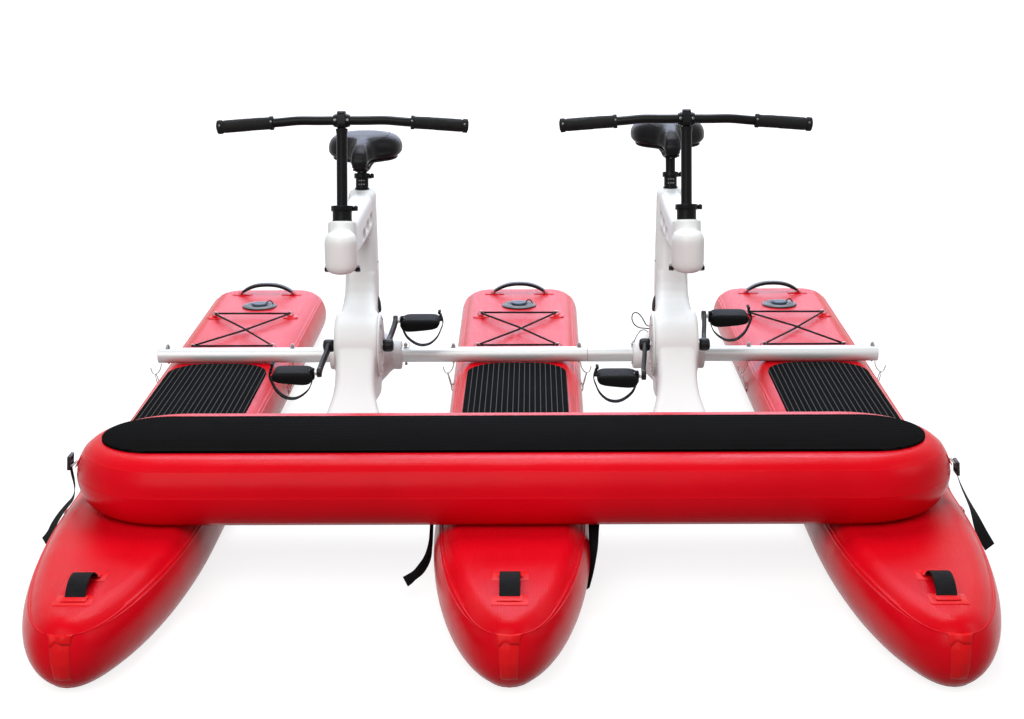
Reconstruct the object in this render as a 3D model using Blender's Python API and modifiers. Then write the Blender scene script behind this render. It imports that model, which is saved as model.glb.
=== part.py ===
"""Catamaran water bike: two pedal drives carried by three inflatable floats.

Metres. +X is to the right seen from the bows, +Y runs to the sterns, +Z is up.
The origin is on the ground, under the middle of the floats. Sizes of a bike are
measured from the axis of the cross tube, in the bike's own upright plane.
"""

import math

import bmesh
import bpy
from mathutils import Vector

# Fits between pieces
CLEAR = 0.0003

# Floats
FLOAT_LENGTH = 2.900
FLOAT_WIDTH = 0.385
FLOAT_BOW_WIDTH = 0.352
FLOAT_THICKNESS = 0.150
FLOAT_SPACING = 0.850
FLOAT_CORNER = 0.100
FLOAT_BOW_LENGTH = 0.743
WALL_BULGE = 0.060
SKIN = 0.002
WALL_STEPS = 6
CORNER_STEPS = 3
BOW_STEPS = 7

# Valves
PORT_RADIUS = 0.018
VALVE_RADIUS = 0.056
VALVE_HEIGHT = 0.012
VALVE_NECK = 0.020
VALVE_TO_TUBE = 0.701

# Handles on the floats
STERN_HANDLE_TO_STERN = 0.114
STERN_HANDLE_SPAN = 0.175
STERN_HANDLE_WIDTH = 0.026
STERN_HANDLE_THICKNESS = 0.008
STERN_HANDLE_HEIGHT = 0.036
BOW_HANDLE_TO_BOW = 0.200
BOW_HANDLE_SPAN = 0.112
BOW_HANDLE_WIDTH = 0.038
BOW_HANDLE_THICKNESS = 0.004
BOW_HANDLE_HEIGHT = 0.029
HANDLE_STEPS = 8

# Bungee lacing
LACING_HALF_WIDTH = 0.120
LACING_FRONT = 0.146
LACING_BACK = 0.554
BUNGEE_RADIUS = 0.003
ANCHOR_RADIUS = 0.026
ANCHOR_THICKNESS = 0.0025
LOOP_HEIGHT = 0.018
LOOP_WIDTH = 0.012

# Foot pads on the floats
PAD_THICKNESS = 0.006
PAD_WIDTH = 0.280
PAD_BACK_TO_TUBE = 0.032
PAD_TO_DECK = 0.0545
PAD_CORNER = 0.100

# Cross deck
DECK_LENGTH = 1.954
DECK_WIDTH = 0.447
DECK_THICKNESS = 0.150
DECK_TO_BOW = 0.725
DECK_PAD_LENGTH = 1.840
DECK_PAD_WIDTH = 0.260
DECK_PORT_X = 0.430

# Cross tube
STERN_TO_TUBE = 0.997
TUBE_END = 0.189
TUBE_RADIUS = 0.0225
TUBE_STEP = 0.0005
TUBE_WALL = 0.002
TUBE_SPIGOT = 0.080
TUBE_JOINT_X = 0.203
TUBE_STEPS = 20

# Bike frame
BIKE_SPACING = 0.872
FRAME_WALL = 0.005
BOSS_REACH = 0.102
BOSS_RADIUS = 0.042
BOSS_FLANGE = 0.020
BOSS_ROOT = 0.080
BOSS_NECK = 0.062
BOSS_START = 0.040
FLANGE_STEP = 0.003
CRANK_AXIS = (-0.225, 0.086)
DRUM_RADIUS = 0.092
DRUM_WIDTH = 0.118
DRUM_EDGE = 0.008
COVER_RADIUS = 0.088
COVER_THICKNESS = 0.006
COVER_OPENING = 0.076
SEAT_TOP = (0.010, 0.481)
SEAT_LEAN = math.radians(15.8)
COLUMN_TOP_WIDTH = 0.074
COLUMN_WIDTH = 0.090
COLUMN_TOP_DEPTH = 0.080
COLUMN_DEPTH = 0.104
COLUMN_FOOT = 0.440
COLUMN_CORNER = 0.030
COLUMN_CROWN = 0.020
BEAM_WIDTH = 0.062
BEAM_ROOT_HEIGHT = 0.118
BEAM_HEIGHT = 0.098
BEAM_ROOT_DROP = 0.061
BEAM_CORNER = 0.024
BEAM_POCKETS = 3
POCKET_LENGTH = 0.080
POCKET_HEIGHT = 0.030
POCKET_DEPTH = 0.002
POCKET_PITCH = 0.105
POCKET_START = 0.095
HEAD_TOP = (-0.537, 0.492)
HEAD_LEAN = math.radians(14.0)
HEAD_RADIUS = 0.0355
HEAD_LENGTH = 0.115
BULB_RADIUS = 0.0405
BULB_HEIGHT = 0.110
BULB_FORWARD = 0.051
BULB_LOW = 0.366
YOKE_SPACE = 0.050
HINGE_AXIS = (-0.420, -0.082)
FOOT_ROOT_WIDTH = 0.116
FOOT_WIDTH = 0.160
FOOT_HALF_DEPTH = 0.040
FOOT_BACK_ROOT = 0.085
FOOT_TOE = 0.045
FOOT_CORNER = 0.018
GUSSET_WIDTH = 0.112
GUSSET_TAIL_WIDTH = 0.092
GUSSET_CORNER = 0.020
GUSSET_RISE = 0.027
GUSSET_TAIL_RISE = 0.010
CHEEK_DROP = 0.042
LEG_SLOT = 0.058
LEG_SLOT_FRONT = 0.013
LEG_SLOT_RISE = 0.004

# Steering
SHAFT_RADIUS = 0.020
SLEEVE_RADIUS = 0.0245
SLEEVE_HEIGHT = 0.040
SLEEVE_CLAMP_RADIUS = 0.0285
SLEEVE_CLAMP_HEIGHT = 0.013
YOKE_WIDTH = 0.090
YOKE_DEPTH = 0.024
YOKE_THICKNESS = 0.010
POST_RADIUS = 0.01375
POST_REACH = 0.2560
POST_IN_HEAD = 0.110
STEM_RADIUS = 0.0200
STEM_WIDTH = 0.034
BAR_RADIUS = 0.0115
BAR_LENGTH = 0.640
BAR_DROP = 0.013
BAR_SWEEP = 0.022
GRIP_RADIUS = 0.0165
GRIP_LENGTH = 0.145

# Seat
SEAT_SLEEVE_RADIUS = 0.0180
SEAT_SLEEVE_RISE = 0.045
SEAT_SLEEVE_DEPTH = 0.100
SEAT_CLAMP_RADIUS = 0.0225
SEAT_CLAMP_HEIGHT = 0.013
SEAT_POST_RADIUS = 0.0135
SEAT_POST_IN_FRAME = 0.150
SEAT_HEIGHT_LEFT = 0.066
SEAT_HEIGHT_RIGHT = 0.101
SADDLE_LENGTH = 0.276
SADDLE_WIDTH = 0.214
SADDLE_THICKNESS = 0.075
SADDLE_BACK = 0.040

# Clamp levers
LEVER_LENGTH = 0.046
LEVER_PIVOT_RADIUS = 0.0055
LEVER_HEIGHT = 0.011
LEVER_THICKNESS = 0.005

# Cranks and pedals
CRANK_LENGTH = 0.152
SPINDLE_RADIUS = 0.010
CRANK_BOSS_RADIUS = 0.0175
CRANK_BOSS_WIDTH = 0.029
CRANK_GAP = 0.0025
CRANK_OFFSET = 0.017
CRANK_THICKNESS = 0.013
CRANK_WIDTH = 0.024
PEDAL_GAP = 0.005
PEDAL_WIDTH = 0.108
PEDAL_DEPTH = 0.092
PEDAL_THICKNESS = 0.033
PEDAL_AXLE_RADIUS = 0.007
PEDAL_AXLE_LENGTH = 0.060
STRAP_DROP = 0.046
STRAP_WIDTH = 0.030
STRAP_THICKNESS = 0.003
CRANK_DIP_LEFT = math.radians(13.5)
CRANK_DIP_RIGHT = math.radians(18.0)

# Belt drive
BELT_OFFSET = 0.028
BELT_WIDTH = 0.012
BELT_THICKNESS = 0.003
UPPER_PULLEY_RADIUS = 0.054
LOWER_PULLEY_RADIUS = 0.018
PULLEY_WIDTH = 0.015
JACKSHAFT_RADIUS = 0.006
PULLEY_STEPS = 16

# Drive leg, stowed level under the frame
LEG_LENGTH = 0.390
LEG_CHORD = 0.070
LEG_WIDTH = 0.028
LEG_HUB_RADIUS = 0.026
LEG_HUB_WIDTH = 0.035
POD_RADIUS = 0.025
POD_BACK = 0.032
POD_NOSE = 0.050
PROPELLER_SHAFT_RADIUS = 0.006
PROPELLER_RADIUS = 0.120
PROPELLER_HUB_RADIUS = 0.019
PROPELLER_HUB_LENGTH = 0.027
BLADE_CHORD = 0.050
BLADE_THICKNESS = 0.006
RUDDER_SPAN = 0.100
RUDDER_CHORD = 0.068
RUDDER_THICKNESS = 0.008
RUDDER_PIN_RADIUS = 0.005
RUDDER_PIN_LENGTH = 0.020

# Places that follow from the sizes
FLOAT_TOP = FLOAT_THICKNESS
TUBE_Y = FLOAT_LENGTH / 2 - STERN_TO_TUBE
TUBE_Z = FLOAT_TOP + CLEAR + TUBE_RADIUS
TUBE_BORE = TUBE_RADIUS + CLEAR
TUBE_REACH = FLOAT_SPACING + TUBE_END
DECK_BOTTOM = FLOAT_TOP + CLEAR
DECK_TOP = DECK_BOTTOM + DECK_THICKNESS
DECK_Y = -FLOAT_LENGTH / 2 + DECK_TO_BOW
PAD_BACK = TUBE_Y - PAD_BACK_TO_TUBE
PAD_FRONT = DECK_Y + DECK_WIDTH / 2 + PAD_TO_DECK
CRANK_INNER_FACE = DRUM_WIDTH / 2 + CLEAR + COVER_THICKNESS + CRANK_GAP
CRANK_BOSS_END = CRANK_INNER_FACE + CRANK_BOSS_WIDTH
EYE_X = CRANK_INNER_FACE + CRANK_BOSS_WIDTH / 2 + CRANK_OFFSET
PEDAL_X = EYE_X + CRANK_THICKNESS / 2 + PEDAL_GAP + PEDAL_WIDTH / 2


def clear_scene():
    for obj in list(bpy.data.objects):
        bpy.data.objects.remove(obj, do_unlink=True)


clear_scene()
PARTS = bpy.data.collections.new("catamaran_water_bike")
CUTTERS = bpy.data.collections.new("cutters")
bpy.context.scene.collection.children.link(PARTS)
bpy.context.scene.collection.children.link(CUTTERS)


def make_material(name, colour, roughness, metallic=0.0):
    material = bpy.data.materials.new(name)
    material.use_nodes = True
    shader = material.node_tree.nodes["Principled BSDF"]
    shader.inputs["Base Color"].default_value = (*colour, 1.0)
    shader.inputs["Roughness"].default_value = roughness
    shader.inputs["Metallic"].default_value = metallic
    return material


RED_PVC = make_material("red_pvc", (0.60, 0.010, 0.014), 0.35)
BLACK_EVA = make_material("black_eva", (0.012, 0.012, 0.013), 0.85)
WHITE_SHELL = make_material("white_shell", (0.80, 0.80, 0.79), 0.40)
SATIN_ALUMINIUM = make_material("satin_aluminium", (0.72, 0.73, 0.75), 0.38, 1.0)
BLACK_METAL = make_material("black_metal", (0.010, 0.010, 0.011), 0.40, 0.6)
BLACK_RUBBER = make_material("black_rubber", (0.010, 0.010, 0.010), 0.70)
BLACK_PLASTIC = make_material("black_plastic", (0.014, 0.014, 0.015), 0.45)
BLACK_WEBBING = make_material("black_webbing", (0.010, 0.010, 0.011), 0.90)
GREY_PLASTIC = make_material("grey_plastic", (0.20, 0.22, 0.24), 0.50)
SADDLE_COVER = make_material("saddle_cover", (0.016, 0.016, 0.018), 0.50)
BELT_RUBBER = make_material("belt_rubber", (0.008, 0.008, 0.008), 0.75)


def mesh_of(bm, name):
    mesh = bpy.data.meshes.new(name)
    bmesh.ops.recalc_face_normals(bm, faces=bm.faces[:])
    bm.to_mesh(mesh)
    bm.free()
    mesh.shade_smooth()
    mesh.set_sharp_from_angle(angle=math.radians(35))
    return mesh


def place(name, mesh, material=None, parent=None, location=(0, 0, 0), rotation=(0, 0, 0)):
    """A part where a material is given, and otherwise a cutter or a shape to be joined on."""
    obj = bpy.data.objects.new(name, mesh)
    obj.location = location
    obj.rotation_euler = rotation
    obj.parent = parent
    if material is None:
        CUTTERS.objects.link(obj)
        obj.hide_render = True
        obj.display_type = "WIRE"
    else:
        PARTS.objects.link(obj)
        obj.data.materials.append(material)
    return obj


def combine(obj, other, operation):
    modifier = obj.modifiers.new(operation.lower() + "_" + other.name, "BOOLEAN")
    modifier.operation = operation
    modifier.object = other
    modifier.solver = "EXACT"


def loft_mesh(name, rings):
    """A closed skin through rings of equally many points, with flat ends."""
    bm = bmesh.new()
    loops = [[bm.verts.new(point) for point in ring] for ring in rings]
    count = len(rings[0])
    for low, high in zip(loops, loops[1:]):
        for i in range(count):
            j = (i + 1) % count
            bm.faces.new((low[i], low[j], high[j], high[i]))
    bm.faces.new(loops[0])
    bm.faces.new(loops[-1])
    return mesh_of(bm, name)


def rounded_section(width, height, radius, steps=3):
    """Points of a rectangle with round corners, centred, as (across, up)."""
    points = []
    for turn, (sx, sy) in enumerate(((1, 1), (-1, 1), (-1, -1), (1, -1))):
        for k in range(steps + 1):
            angle = math.pi / 2 * (turn + k / steps)
            across = sx * (width / 2 - radius) + radius * math.cos(angle)
            up = sy * (height / 2 - radius) + radius * math.sin(angle)
            points.append((across, up))
    return points


def turned(name, profile, steps, material=None, parent=None, location=(0, 0, 0),
           rotation=(0, 0, 0), closed=False):
    """A profile of (radius, height) pairs, run down its outer side, turned about local Z."""
    mesh = bpy.data.meshes.new(name)
    edges = [(i, i + 1) for i in range(len(profile) - 1)]
    if closed:
        edges.append((len(profile) - 1, 0))
    mesh.from_pydata([(radius, 0, height) for radius, height in profile], edges, [])
    obj = place(name, mesh, material, parent, location, rotation)
    screw = obj.modifiers.new("turn", "SCREW")
    screw.axis = "Z"
    screw.angle = math.tau
    screw.steps = steps
    screw.render_steps = steps
    screw.use_merge_vertices = True
    screw.merge_threshold = 0.0001
    screw.use_smooth_shade = True
    return obj


def rod_profile(radius, low, high):
    return [(0, high), (radius, high), (radius, low), (0, low)]


def ring_profile(outer, inner, low, high):
    return [(outer, high), (outer, low), (inner, low), (inner, high)]


def along_x(side=1):
    """Rotation that turns local Z to +X, or to -X."""
    return (0, side * math.pi / 2, 0)


def running(radius, steps):
    """Radius of a faceted bore that a faceted shaft turns in freely."""
    return radius / math.cos(math.pi / steps) + CLEAR


def box_mesh(name, size, centre=(0, 0, 0), bevel=0.0):
    bm = bmesh.new()
    bmesh.ops.create_cube(bm, size=1.0)
    bmesh.ops.scale(bm, vec=size, verts=bm.verts[:])
    bmesh.ops.translate(bm, vec=centre, verts=bm.verts[:])
    if bevel > 0:
        bmesh.ops.bevel(bm, geom=bm.edges[:], offset=bevel, segments=1, affect="EDGES")
    return mesh_of(bm, name)


def cord_mesh(name, points, radius, resolution=2):
    """A round cord through the points, made from a bevelled curve with its caps welded on."""
    curve = bpy.data.curves.new(name, "CURVE")
    curve.dimensions = "3D"
    curve.bevel_depth = radius
    curve.bevel_resolution = resolution
    curve.use_fill_caps = True
    spline = curve.splines.new("POLY")
    spline.points.add(len(points) - 1)
    for knot, point in zip(spline.points, points):
        knot.co = (*point, 1.0)
    guide = bpy.data.objects.new(name + "_guide", curve)
    bpy.context.scene.collection.objects.link(guide)
    graph = bpy.context.evaluated_depsgraph_get()
    mesh = bpy.data.meshes.new_from_object(guide.evaluated_get(graph))
    bpy.data.objects.remove(guide, do_unlink=True)
    bm = bmesh.new()
    bm.from_mesh(mesh)
    bmesh.ops.remove_doubles(bm, verts=bm.verts[:], dist=0.00005)
    bpy.data.meshes.remove(mesh)
    return mesh_of(bm, name)


def plate(name, outlines, thickness, material, parent, location, rotation=(0, 0, 0)):
    """A flat sheet with the given outlines, centred on its plane; an inner outline is a hole."""
    curve = bpy.data.curves.new(name, "CURVE")
    curve.dimensions = "2D"
    curve.fill_mode = "BOTH"
    curve.extrude = thickness / 2
    for outline in outlines:
        spline = curve.splines.new("POLY")
        spline.points.add(len(outline) - 1)
        spline.use_cyclic_u = True
        for knot, (x, y) in zip(spline.points, outline):
            knot.co = (x, y, 0.0, 1.0)
    return place(name, curve, material, parent, location, rotation)


def arc(centre, radius, start, sweep, steps):
    return [
        (
            centre[0] + radius * math.cos(start + sweep * k / steps),
            centre[1] + radius * math.sin(start + sweep * k / steps),
        )
        for k in range(steps + 1)
    ]


def offset_outline(outline, distance):
    """The closed outline moved outwards; its straight edges keep their direction."""
    moved = []
    count = len(outline)
    for i, (x, y) in enumerate(outline):
        x0, y0 = outline[i - 1]
        x1, y1 = outline[(i + 1) % count]
        before = Vector((y - y0, x0 - x)).normalized()
        after = Vector((y1 - y, x - x1)).normalized()
        normal = (before + after).normalized()
        turn = normal.dot(before)
        reach = distance / turn if turn > 0.9 else distance
        moved.append((x + reach * normal.x, y + reach * normal.y))
    return moved


def pillow_mesh(name, outline, thickness):
    """A drop-stitch body: two flat panels of the same outline, joined by a bulging wall."""
    rings = []
    for k in range(WALL_STEPS + 1):
        angle = -math.pi / 2 + math.pi * k / WALL_STEPS
        moved = offset_outline(outline, WALL_BULGE * math.cos(angle))
        height = thickness / 2 * (1 + math.sin(angle))
        rings.append([(x, y, height) for x, y in moved])
    return loft_mesh(name, rings)


def inflate(name, outline, thickness, location, port):
    """A hollow body with the port (x, y, low, high) of its valve, in the body's own frame."""
    body = place(name, pillow_mesh(name, outline, thickness), RED_PVC, None, location)
    skin = body.modifiers.new("skin", "SOLIDIFY")
    skin.thickness = SKIN
    skin.offset = -1
    x, y, low, high = port
    hole = turned(name + "_port", rod_profile(PORT_RADIUS, low, high), 16,
                  location=(location[0] + x, location[1] + y, location[2]))
    combine(body, hole, "DIFFERENCE")
    return body


def float_outline():
    """Flat panel of a float: square stern with round corners, pointed bow."""
    half = FLOAT_WIDTH / 2 - WALL_BULGE
    bow_half = FLOAT_BOW_WIDTH / 2 - WALL_BULGE
    corner = FLOAT_CORNER - WALL_BULGE
    stern = FLOAT_LENGTH / 2 - WALL_BULGE
    tip = -FLOAT_LENGTH / 2 + WALL_BULGE
    shoulder = -FLOAT_LENGTH / 2 + FLOAT_BOW_LENGTH
    left = arc((-half + corner, stern - corner), corner, math.pi / 2, math.pi / 2, CORNER_STEPS)
    for k in range(BOW_STEPS):
        share = math.sin(math.pi / 2 * k / BOW_STEPS)
        width = bow_half * (1 - share * share) ** 0.62
        left.append((-width, shoulder + (tip - shoulder) * share))
    right = [(-x, y) for x, y in reversed(left)]
    return left + [(0.0, tip)] + right


def stadium(length, width, steps):
    radius = width / 2
    reach = length / 2 - radius
    return (arc((-reach, 0), radius, math.pi / 2, math.pi, steps)
            + arc((reach, 0), radius, -math.pi / 2, math.pi, steps))


def arch_mesh(name, span, width, thickness, height):
    """A strap handle that rises from both ends, along X."""
    rings = []
    for k in range(HANDLE_STEPS + 1):
        share = -1 + 2 * k / HANDLE_STEPS
        low = (height - thickness) * (1 - abs(share) ** 2.4)
        rings.append([
            (span / 2 * share, across, low + thickness / 2 + up)
            for across, up in rounded_section(width, thickness, thickness * 0.3, 1)
        ])
    return loft_mesh(name, rings)


def make_lacing(name, x):
    """One bungee run across and criss-cross through four welded loops, back to where it starts."""
    top = FLOAT_TOP + CLEAR
    cord_height = 0.012
    split = BUNGEE_RADIUS * 1.15
    front = TUBE_Y + LACING_FRONT
    back = TUBE_Y + LACING_BACK
    middle = (front + back) / 2
    half = LACING_HALF_WIDTH
    route = [
        (-half, back + split, cord_height),
        (half, back, cord_height),
        (0, middle, cord_height - 0.004),
        (-half, front, cord_height),
        (half, front, cord_height),
        (0, middle, cord_height + 0.005),
        (-half, back - split, cord_height),
    ]
    cord = place(name, cord_mesh(name, route, BUNGEE_RADIUS), BLACK_RUBBER, None, (x, 0, top))
    for side in (-1, 1):
        for row, y in enumerate((front, back)):
            label = f"{name}_anchor_{side + 1}_{row}"
            place_at = (x + side * half, y, top)
            disc = turned(label, rod_profile(ANCHOR_RADIUS, 0, ANCHOR_THICKNESS), 8,
                          location=place_at)
            loop = place(label + "_loop", box_mesh(
                label, (LOOP_WIDTH, LOOP_WIDTH, LOOP_HEIGHT), (0, 0, LOOP_HEIGHT / 2 + 0.001)),
                location=place_at)
            combine(cord, disc, "UNION")
            combine(cord, loop, "UNION")


def make_float(side_name, x):
    outline = float_outline()
    inflate(f"float_{side_name}", outline, FLOAT_THICKNESS, (x, 0, 0),
            (0, TUBE_Y + VALVE_TO_TUBE, FLOAT_THICKNESS / 2, FLOAT_THICKNESS + SKIN))
    top = FLOAT_TOP + CLEAR
    turned(f"valve_{side_name}", [
        (0, VALVE_HEIGHT), (0.022, VALVE_HEIGHT), (0.026, 0.005), (0.040, 0.009),
        (VALVE_RADIUS, 0.003), (VALVE_RADIUS, 0), (PORT_RADIUS - CLEAR, 0),
        (PORT_RADIUS - CLEAR, -VALVE_NECK), (0, -VALVE_NECK),
    ], 16, GREY_PLASTIC, None, (x, TUBE_Y + VALVE_TO_TUBE, top))
    place(f"stern_handle_{side_name}", arch_mesh(
        "stern_handle", STERN_HANDLE_SPAN, STERN_HANDLE_WIDTH, STERN_HANDLE_THICKNESS,
        STERN_HANDLE_HEIGHT), BLACK_RUBBER, None,
        (x, FLOAT_LENGTH / 2 - STERN_HANDLE_TO_STERN, top))
    place(f"bow_handle_{side_name}", arch_mesh(
        "bow_handle", BOW_HANDLE_SPAN, BOW_HANDLE_WIDTH, BOW_HANDLE_THICKNESS,
        BOW_HANDLE_HEIGHT), BLACK_WEBBING, None,
        (x, -FLOAT_LENGTH / 2 + BOW_HANDLE_TO_BOW, top), (0, 0, math.pi / 2))
    make_lacing(f"bungee_{side_name}", x)
    half = PAD_WIDTH / 2
    corner = PAD_CORNER
    reach = (PAD_BACK - PAD_FRONT) / 2
    pad = []
    for sx, sy, start in ((1, 1, 0), (-1, 1, 1), (-1, -1, 2), (1, -1, 3)):
        pad += arc((sx * (half - corner), sy * (reach - corner)), corner,
                   start * math.pi / 2, math.pi / 2, 4)
    plate(f"float_pad_{side_name}", [pad], PAD_THICKNESS, BLACK_EVA, None,
          (x, PAD_BACK - reach, top + PAD_THICKNESS / 2))


def make_deck():
    panel = stadium(DECK_LENGTH - 2 * WALL_BULGE, DECK_WIDTH - 2 * WALL_BULGE, 8)
    inflate("deck_float", panel, DECK_THICKNESS, (0, DECK_Y, DECK_BOTTOM),
            (DECK_PORT_X, 0, -SKIN, DECK_THICKNESS / 2))
    plate("deck_pad", [stadium(DECK_PAD_LENGTH, DECK_PAD_WIDTH, 10)], PAD_THICKNESS,
          BLACK_EVA, None, (0, DECK_Y, DECK_TOP + CLEAR + PAD_THICKNESS / 2))


def tube_radius(side):
    """The left section is drawn a little thinner than the right one."""
    return TUBE_RADIUS - TUBE_STEP if side < 0 else TUBE_RADIUS


def make_cross_tube():
    """Two sections; a spigot on the left one slides into the right one."""
    left = tube_radius(-1)
    spigot = TUBE_RADIUS - TUBE_WALL - CLEAR
    bore = spigot - TUBE_WALL
    joint = TUBE_JOINT_X - CLEAR
    turned("cross_tube_right", ring_profile(
        TUBE_RADIUS, TUBE_RADIUS - TUBE_WALL, TUBE_JOINT_X, TUBE_REACH), TUBE_STEPS,
        SATIN_ALUMINIUM, None, (0, TUBE_Y, TUBE_Z), along_x(), True)
    turned("cross_tube_left", [
        (spigot, joint + TUBE_SPIGOT), (spigot, joint), (left, joint), (left, -TUBE_REACH),
        (bore, -TUBE_REACH), (bore, joint + TUBE_SPIGOT),
    ], TUBE_STEPS, SATIN_ALUMINIUM, None, (0, TUBE_Y, TUBE_Z), along_x(), True)


def foot_axis():
    """Unit vector from the crank to the hinge of the leg, its forward normal, and the distance."""
    start = Vector(CRANK_AXIS)
    down = Vector(HINGE_AXIS) - start
    reach = down.length
    down.normalize()
    return start, down, Vector((down.y, -down.x)), reach


def foot_width(share):
    """Width of the foot, which flares once it is clear of the side cover."""
    flare = max(share - 0.36, 0.0) / 0.64
    return FOOT_ROOT_WIDTH + (FOOT_WIDTH - FOOT_ROOT_WIDTH) * flare ** 1.3


def foot_rings(inset, end_share):
    """Sections of the foot, which sweeps forward and flares from the drum to the hinge."""
    start, down, forward, reach = foot_axis()
    rings = []
    steps = 6
    for k in range(steps + 1):
        share = end_share * k / steps
        fade = max(1 - share, 0.0)
        front = FOOT_HALF_DEPTH + (DRUM_RADIUS - FOOT_HALF_DEPTH) * fade ** 2 - inset
        back = FOOT_HALF_DEPTH + (FOOT_BACK_ROOT - FOOT_HALF_DEPTH) * fade ** 1.5 - inset
        width = foot_width(share) - 2 * inset
        centre = start + down * (reach * share)
        section = rounded_section(width, front + back, FOOT_CORNER - inset * 0.5, 2)
        ring = []
        for across, along in section:
            point = centre + forward * (along + (front - back) / 2)
            ring.append((across, point.x, point.y))
        rings.append(ring)
    return rings


def column_rings(inset, low, high):
    """Sections of the column, square to Z; low and high are measured down from the seat top."""
    slope = math.tan(SEAT_LEAN)
    rings = []
    steps = 4
    for k in range(steps + 1):
        drop = high + (low - high) * k / steps
        share = min(drop / (COLUMN_FOOT * 0.55), 1.0)
        width = COLUMN_TOP_WIDTH + (COLUMN_WIDTH - COLUMN_TOP_WIDTH) * share - 2 * inset
        depth = COLUMN_TOP_DEPTH + (COLUMN_DEPTH - COLUMN_TOP_DEPTH) * share - 2 * inset
        centre = SEAT_TOP[0] - drop * slope
        rings.append([
            (across, centre + along, SEAT_TOP[1] - drop)
            for across, along in rounded_section(width, depth, COLUMN_CORNER - inset, 2)
        ])
    return rings


def beam_rings(inset, start, end):
    """Sections of the beam, square to Y, between two distances ahead of the seat top."""
    head_middle = HEAD_TOP[1] - HEAD_LENGTH / 2 * math.cos(HEAD_LEAN)
    root_middle = SEAT_TOP[1] - BEAM_ROOT_DROP
    reach = SEAT_TOP[0] - HEAD_TOP[0]
    rings = []
    for k in range(4):
        ahead = start + (end - start) * k / 3
        share = ahead / reach
        height = BEAM_ROOT_HEIGHT + (BEAM_HEIGHT - BEAM_ROOT_HEIGHT) * share - 2 * inset
        middle = root_middle + (head_middle - root_middle) * share
        rings.append([
            (across, SEAT_TOP[0] - ahead, middle + up)
            for across, up in rounded_section(
                BEAM_WIDTH - 2 * inset, height, BEAM_CORNER - inset, 2)
        ])
    return rings


def gusset_rings():
    """Sections of the body between the drum and the cross tube, square to Y."""
    bottom = HINGE_AXIS[1] + FRAME_WALL
    middle = (CRANK_AXIS[0] + BOSS_RADIUS) / 4
    stations = (
        (CRANK_AXIS[0] * 1.15, bottom, CRANK_AXIS[1], GUSSET_WIDTH),
        (CRANK_AXIS[0] * 0.5, bottom - CHEEK_DROP * 0.6, CRANK_AXIS[1] * 0.85, GUSSET_WIDTH),
        (middle / 2, bottom - CHEEK_DROP, TUBE_BORE + GUSSET_RISE, GUSSET_WIDTH * 0.9),
        (BOSS_RADIUS, bottom, TUBE_BORE + GUSSET_TAIL_RISE, GUSSET_TAIL_WIDTH),
    )
    rings = []
    for y, low, high, width in stations:
        section = rounded_section(width, high - low, GUSSET_CORNER, 2)
        rings.append([(across, y, (low + high) / 2 + up) for across, up in section])
    return rings


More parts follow.
